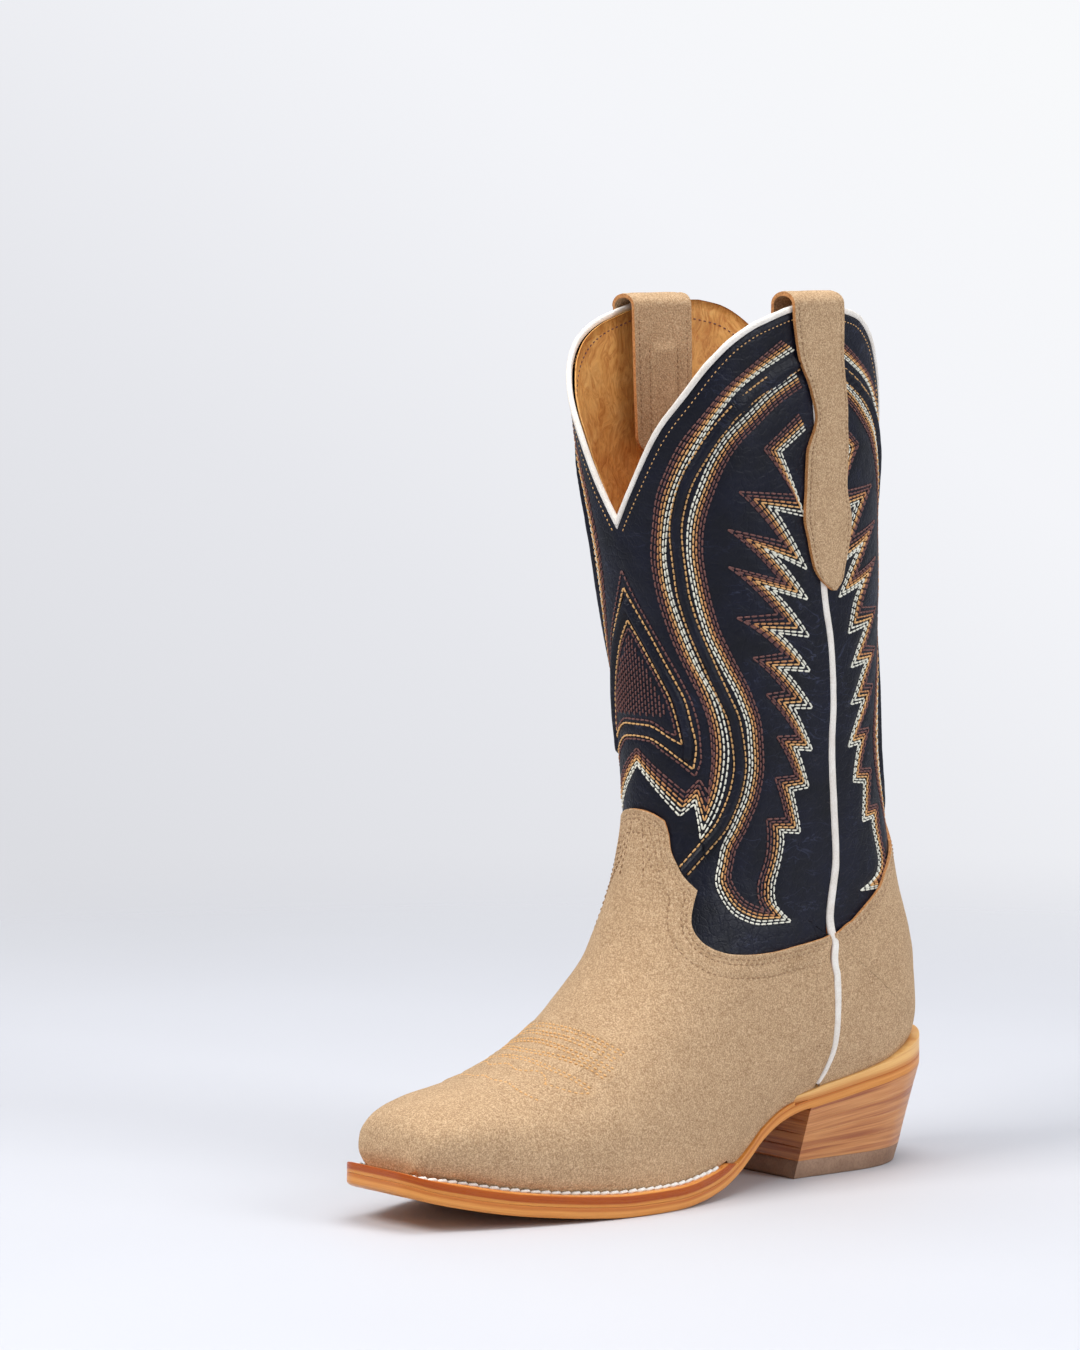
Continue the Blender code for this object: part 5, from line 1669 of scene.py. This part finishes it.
def stacked_leather():
    finish = Finish("stacked_heel", 0.4)
    grain = finish.attribute("grain")
    broad = finish.noise(1.0, 2, 0.5, vector=finish.stretched(grain, (0.007, 0.012, 0.36)))
    fine = finish.noise(1.0, 3, 0.6, vector=finish.stretched(grain, (0.012, 0.02, 1.3)))
    fibre = finish.noise(1.0, 3, vector=finish.stretched(grain, (0.5, 0.5, 8.0)))
    tone = finish.ramp(broad, [(0.34, (168, 98, 52)), (0.46, (200, 134, 76)),
                               (0.58, (214, 152, 92)), (0.7, (180, 110, 62))])
    streak = finish.ramp(fine, [(0.34, (206, 160, 124)), (0.52, (255, 252, 248)),
                                (0.68, (232, 200, 172))])
    finish.colour(finish.mix(0.6, tone, streak, "MULTIPLY"))
    finish.rough(fibre, 0.3, 0.48)
    finish.bump((fine, 0.2, 0.0002), (fibre, 0.3, 0.0001))
    finish.set(Coat_Weight=0.2, Coat_Roughness=0.3)
    return finish.material


def rubber():
    finish = Finish("brown_rubber", 0.62)
    dust = finish.noise(900, 3)
    smear = finish.noise(70, 3)
    tone = finish.ramp(smear, [(0.3, (142, 108, 84)), (0.7, (170, 136, 110))])
    speck = finish.ramp(dust, [(0.35, (205, 200, 195)), (0.6, (255, 255, 255))])
    finish.colour(finish.mix(0.5, tone, speck, "MULTIPLY"))
    finish.bump((dust, 0.4, 0.00015))
    return finish.material


def plain_grain(name, dark, light, scale, roughness, metallic=0.0):
    """Two-tone grained finish for the pieces inside the boot."""
    finish = Finish(name, roughness, metallic)
    grain = finish.noise(scale, 4)
    finish.colour(finish.ramp(grain, [(0.35, dark), (0.65, light)]))
    finish.bump((grain, 0.5, 0.0003))
    return finish.material


def sewing_thread(name, colour, roughness=0.5):
    """Twisted shiny thread."""
    finish = Finish(name, roughness)
    finish.set(Base_Color=linear(*colour))
    twist = finish.noise(2600, 2)
    finish.rough(twist, roughness - 0.12, roughness + 0.12)
    finish.bump((twist, 0.5, 0.00012))
    return finish.material


SUEDE, RAW_EDGE, DARK_LEATHER = suede(), raw_edge(), dark_leather()
LINING, WHITE_PIPING, STACK, RUBBER = lining_leather(), white_leather(), stacked_leather(), rubber()
SOLE_EDGE = sole_edge("outsole_edge", [(0, (214, 142, 66)), (2.8, (224, 156, 80)),
                                       (4.0, (196, 116, 50)), (4.9, (206, 130, 62))],
                      (226, 182, 144), 0.35)
# the pale stop at the top paints a highlight along the welt's rounded top lip; the dark band below it
# is the welt's own colour
WELT_EDGE = sole_edge("welt_edge", [(4.3, (214, 142, 66)), (6.2, (214, 144, 68)),
                                    (6.9, (168, 78, 12)), (9.5, (178, 86, 16)),
                                    (10.1, (232, 158, 80))], (220, 164, 120), 0.3)
RAND_EDGE = sole_edge("rand_edge", [(0, (200, 128, 66)), (5.2, (212, 144, 78)),
                                    (7.4, (238, 190, 120))], (228, 188, 152), 0.38)
THREAD_COLOURS = {"cream": (236, 234, 218), "gold": (222, 172, 110), "tan": (192, 132, 82),
                  "brown": (112, 70, 64), "white": (246, 243, 236), "honey": (224, 174, 112),
                  "buff": (160, 126, 92)}


def dress_hidden_nodes():
    """Finishes for the CAD nodes that stay, inside the boot."""
    board = plain_grain("insole_board", (120, 96, 68), (158, 130, 96), 500, 0.8)
    cork = plain_grain("cork", (110, 74, 44), (176, 128, 82), 350, 0.9)
    steel = plain_grain("spring_steel", (150, 152, 156), (190, 192, 196), 700, 0.32, 1.0)
    stiff = plain_grain("stiffener_board", (182, 166, 136), (212, 198, 168), 600, 0.8)
    finishes = {"vamp_lining": LINING, "heel_lining": LINING, "sock_liner": LINING,
                "insole": board, "cork_filler": cork, "shank": steel, "toe_box": stiff,
                "heel_stiffener": stiff}
    finishes.update({f"heel_nail_{k}": steel for k in range(1, 6)})
    for node, finish in finishes.items():
        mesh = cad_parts[node].data
        mesh.materials.clear()
        mesh.materials.append(finish)


# ---------------------------------------------------------------- stage, light and camera
CAMERA_PLACE = (1.8117, -1.5748, 0.4367)
CAMERA_AZIMUTH, CAMERA_PITCH = math.radians(50.15), math.radians(5.10)
CAMERA_LENS, CAMERA_SENSOR = 149.4, 36.0
CAMERA_REACH = 60                          # metres


def make_camera():
    data = bpy.data.cameras.new("camera")
    data.sensor_fit = "VERTICAL"
    data.sensor_height = CAMERA_SENSOR
    data.lens = CAMERA_LENS
    data.clip_end = CAMERA_REACH
    camera = place_object("camera", data)
    right = Vector((math.cos(CAMERA_AZIMUTH), math.sin(CAMERA_AZIMUTH), 0))
    ahead = Vector((-math.sin(CAMERA_AZIMUTH) * math.cos(CAMERA_PITCH),
                    math.cos(CAMERA_AZIMUTH) * math.cos(CAMERA_PITCH), -math.sin(CAMERA_PITCH)))
    turn = Matrix((right, right.cross(ahead), -ahead)).transposed()
    camera.matrix_world = Matrix.Translation(CAMERA_PLACE) @ turn.to_4x4()
    bpy.context.scene.camera = camera


FLOOR_NEAR, FLOOR_FAR = 0.45, 1.25         # radii between which the floor fades into the backdrop
FLOOR_SIDES = 96


def make_floor():
    """Round pale floor that fades into the backdrop far from the boot."""
    count, rings = FLOOR_SIDES, [0.25, FLOOR_NEAR, 0.8, FLOOR_FAR + 0.05]
    points = [(0, 0, 0)] + [(r * math.cos(2 * math.pi * k / count),
                             r * math.sin(2 * math.pi * k / count), 0)
                            for r in rings for k in range(count)]
    faces = [(0, 1 + k, 1 + (k + 1) % count) for k in range(count)]
    for i in range(len(rings) - 1):
        low, high = 1 + i * count, 1 + (i + 1) * count
        faces += [(low + k, high + k, high + (k + 1) % count, low + (k + 1) % count)
                  for k in range(count)]
    mesh = bpy.data.meshes.new("floor")
    mesh.from_pydata(points, [], faces)
    finish = Finish("pale_floor", 0.6)
    grain = finish.noise(3, 2)
    finish.colour(finish.ramp(grain, [(0.3, (204, 205, 210)), (0.7, (207, 208, 213))]))
    length = finish.node("VectorMath", {0: finish.place}, operation="LENGTH")
    fade = finish.node("MapRange", {"Value": length.outputs["Value"], "From Min": FLOOR_NEAR,
                                    "From Max": FLOOR_FAR}, interpolation_type="SMOOTHSTEP")
    clear = finish.node("BsdfTransparent")
    blend = finish.node("MixShader", {0: fade.outputs["Result"], 1: finish.shader.outputs[0],
                                      2: clear.outputs[0]})
    finish.link(blend.outputs[0], finish.tree.nodes["Material Output"].inputs["Surface"])
    mesh.materials.append(finish.material)
    floor = place_object("floor", mesh)


def area_light(name, place, target, size, power, colour):
    data = bpy.data.lights.new(name, "AREA")
    data.shape = "RECTANGLE"
    data.size, data.size_y = size
    data.energy = power
    data.color = colour
    light = place_object(name, data)
    light.location = place
    light.rotation_euler = (Vector(target) - Vector(place)).to_track_quat("-Z", "Y").to_euler()


def make_light():
    """A pale backdrop, which the camera sees brighter than it lights the boot, and soft boxes."""
    world = bpy.data.worlds.new("studio")
    bpy.context.scene.world = world
    world.use_nodes = True
    tree = world.node_tree
    lit = tree.nodes["Background"]
    lit.inputs["Color"].default_value = linear(236, 240, 250)
    lit.inputs["Strength"].default_value = 0.45
    # paler to the upper right, as on a lit paper backdrop
    place = add_node(tree, "TexCoord").outputs["Generated"]
    slope = add_node(tree, "VectorMath", {0: place, 1: (0.5, 0.6, 1.0)}, operation="DOT_PRODUCT")
    shade = add_node(tree, "MapRange", {"Value": slope.outputs["Value"], "From Min": -0.19,
                                        "From Max": 0.09})
    tones = add_ramp(tree, shade.outputs["Result"],
                     [(0.0, (220, 221, 226)), (0.35, (230, 231, 236)), (0.72, (244, 245, 249)),
                      (1.0, (248, 249, 251))])
    seen = add_node(tree, "Background", {"Color": tones})
    to_camera = add_node(tree, "LightPath").outputs["Is Camera Ray"]
    blend = add_node(tree, "MixShader", {0: to_camera, 1: lit.outputs[0], 2: seen.outputs[0]})
    tree.links.new(blend.outputs[0], tree.nodes["World Output"].inputs["Surface"])
    area_light("key", (-0.2, -1.7, 2.1), (0, 0, 0.15), (1.1, 1.1), 44, (1.0, 0.99, 0.97))
    area_light("side", (2.2, 0.9, 1.3), (0, 0, 0.2), (0.9, 1.6), 25, (0.96, 0.98, 1.0))
    area_light("top", (0.1, 0.2, 2.3), (0, 0, 0), (1.6, 1.6), 34, (1.0, 1.0, 1.0))
    bpy.context.scene.view_settings.view_transform = "Standard"


# ---------------------------------------------------------------- making everything
def make_all():
    make_camera()
    make_floor()
    make_light()
    dress_hidden_nodes()
    make_vamp()
    make_counter()
    for label, low, front in (("front", front_low, True), ("back", back_low, False)):
        make_shaft_panel(label + "_shaft_leather", label + "_shaft", low, front)
        lining = lining_low if front else back_low
        make_lining_panel(label + "_lining_leather", label + "_shaft_lining", lining, front)
        make_top_binding(label, front)
        embroider(front)
    for label, side in (("lateral", 1), ("medial", -1)):
        make_side_piping(label, side)
        make_pull_strap(label, side)
    sew_top_edges()
    make_outsole()
    make_welt()
    make_rand()
    make_heel()
    sew_welt()
    finishes = {name: sewing_thread(name + "_thread", colour)
                for name, colour in THREAD_COLOURS.items()}
    for (colour, region), threads in THREADS.items():
        name = f"thread_{colour}_{region}"
        finish_piece(name, threads.mesh(name), [finishes[colour]])


make_all()
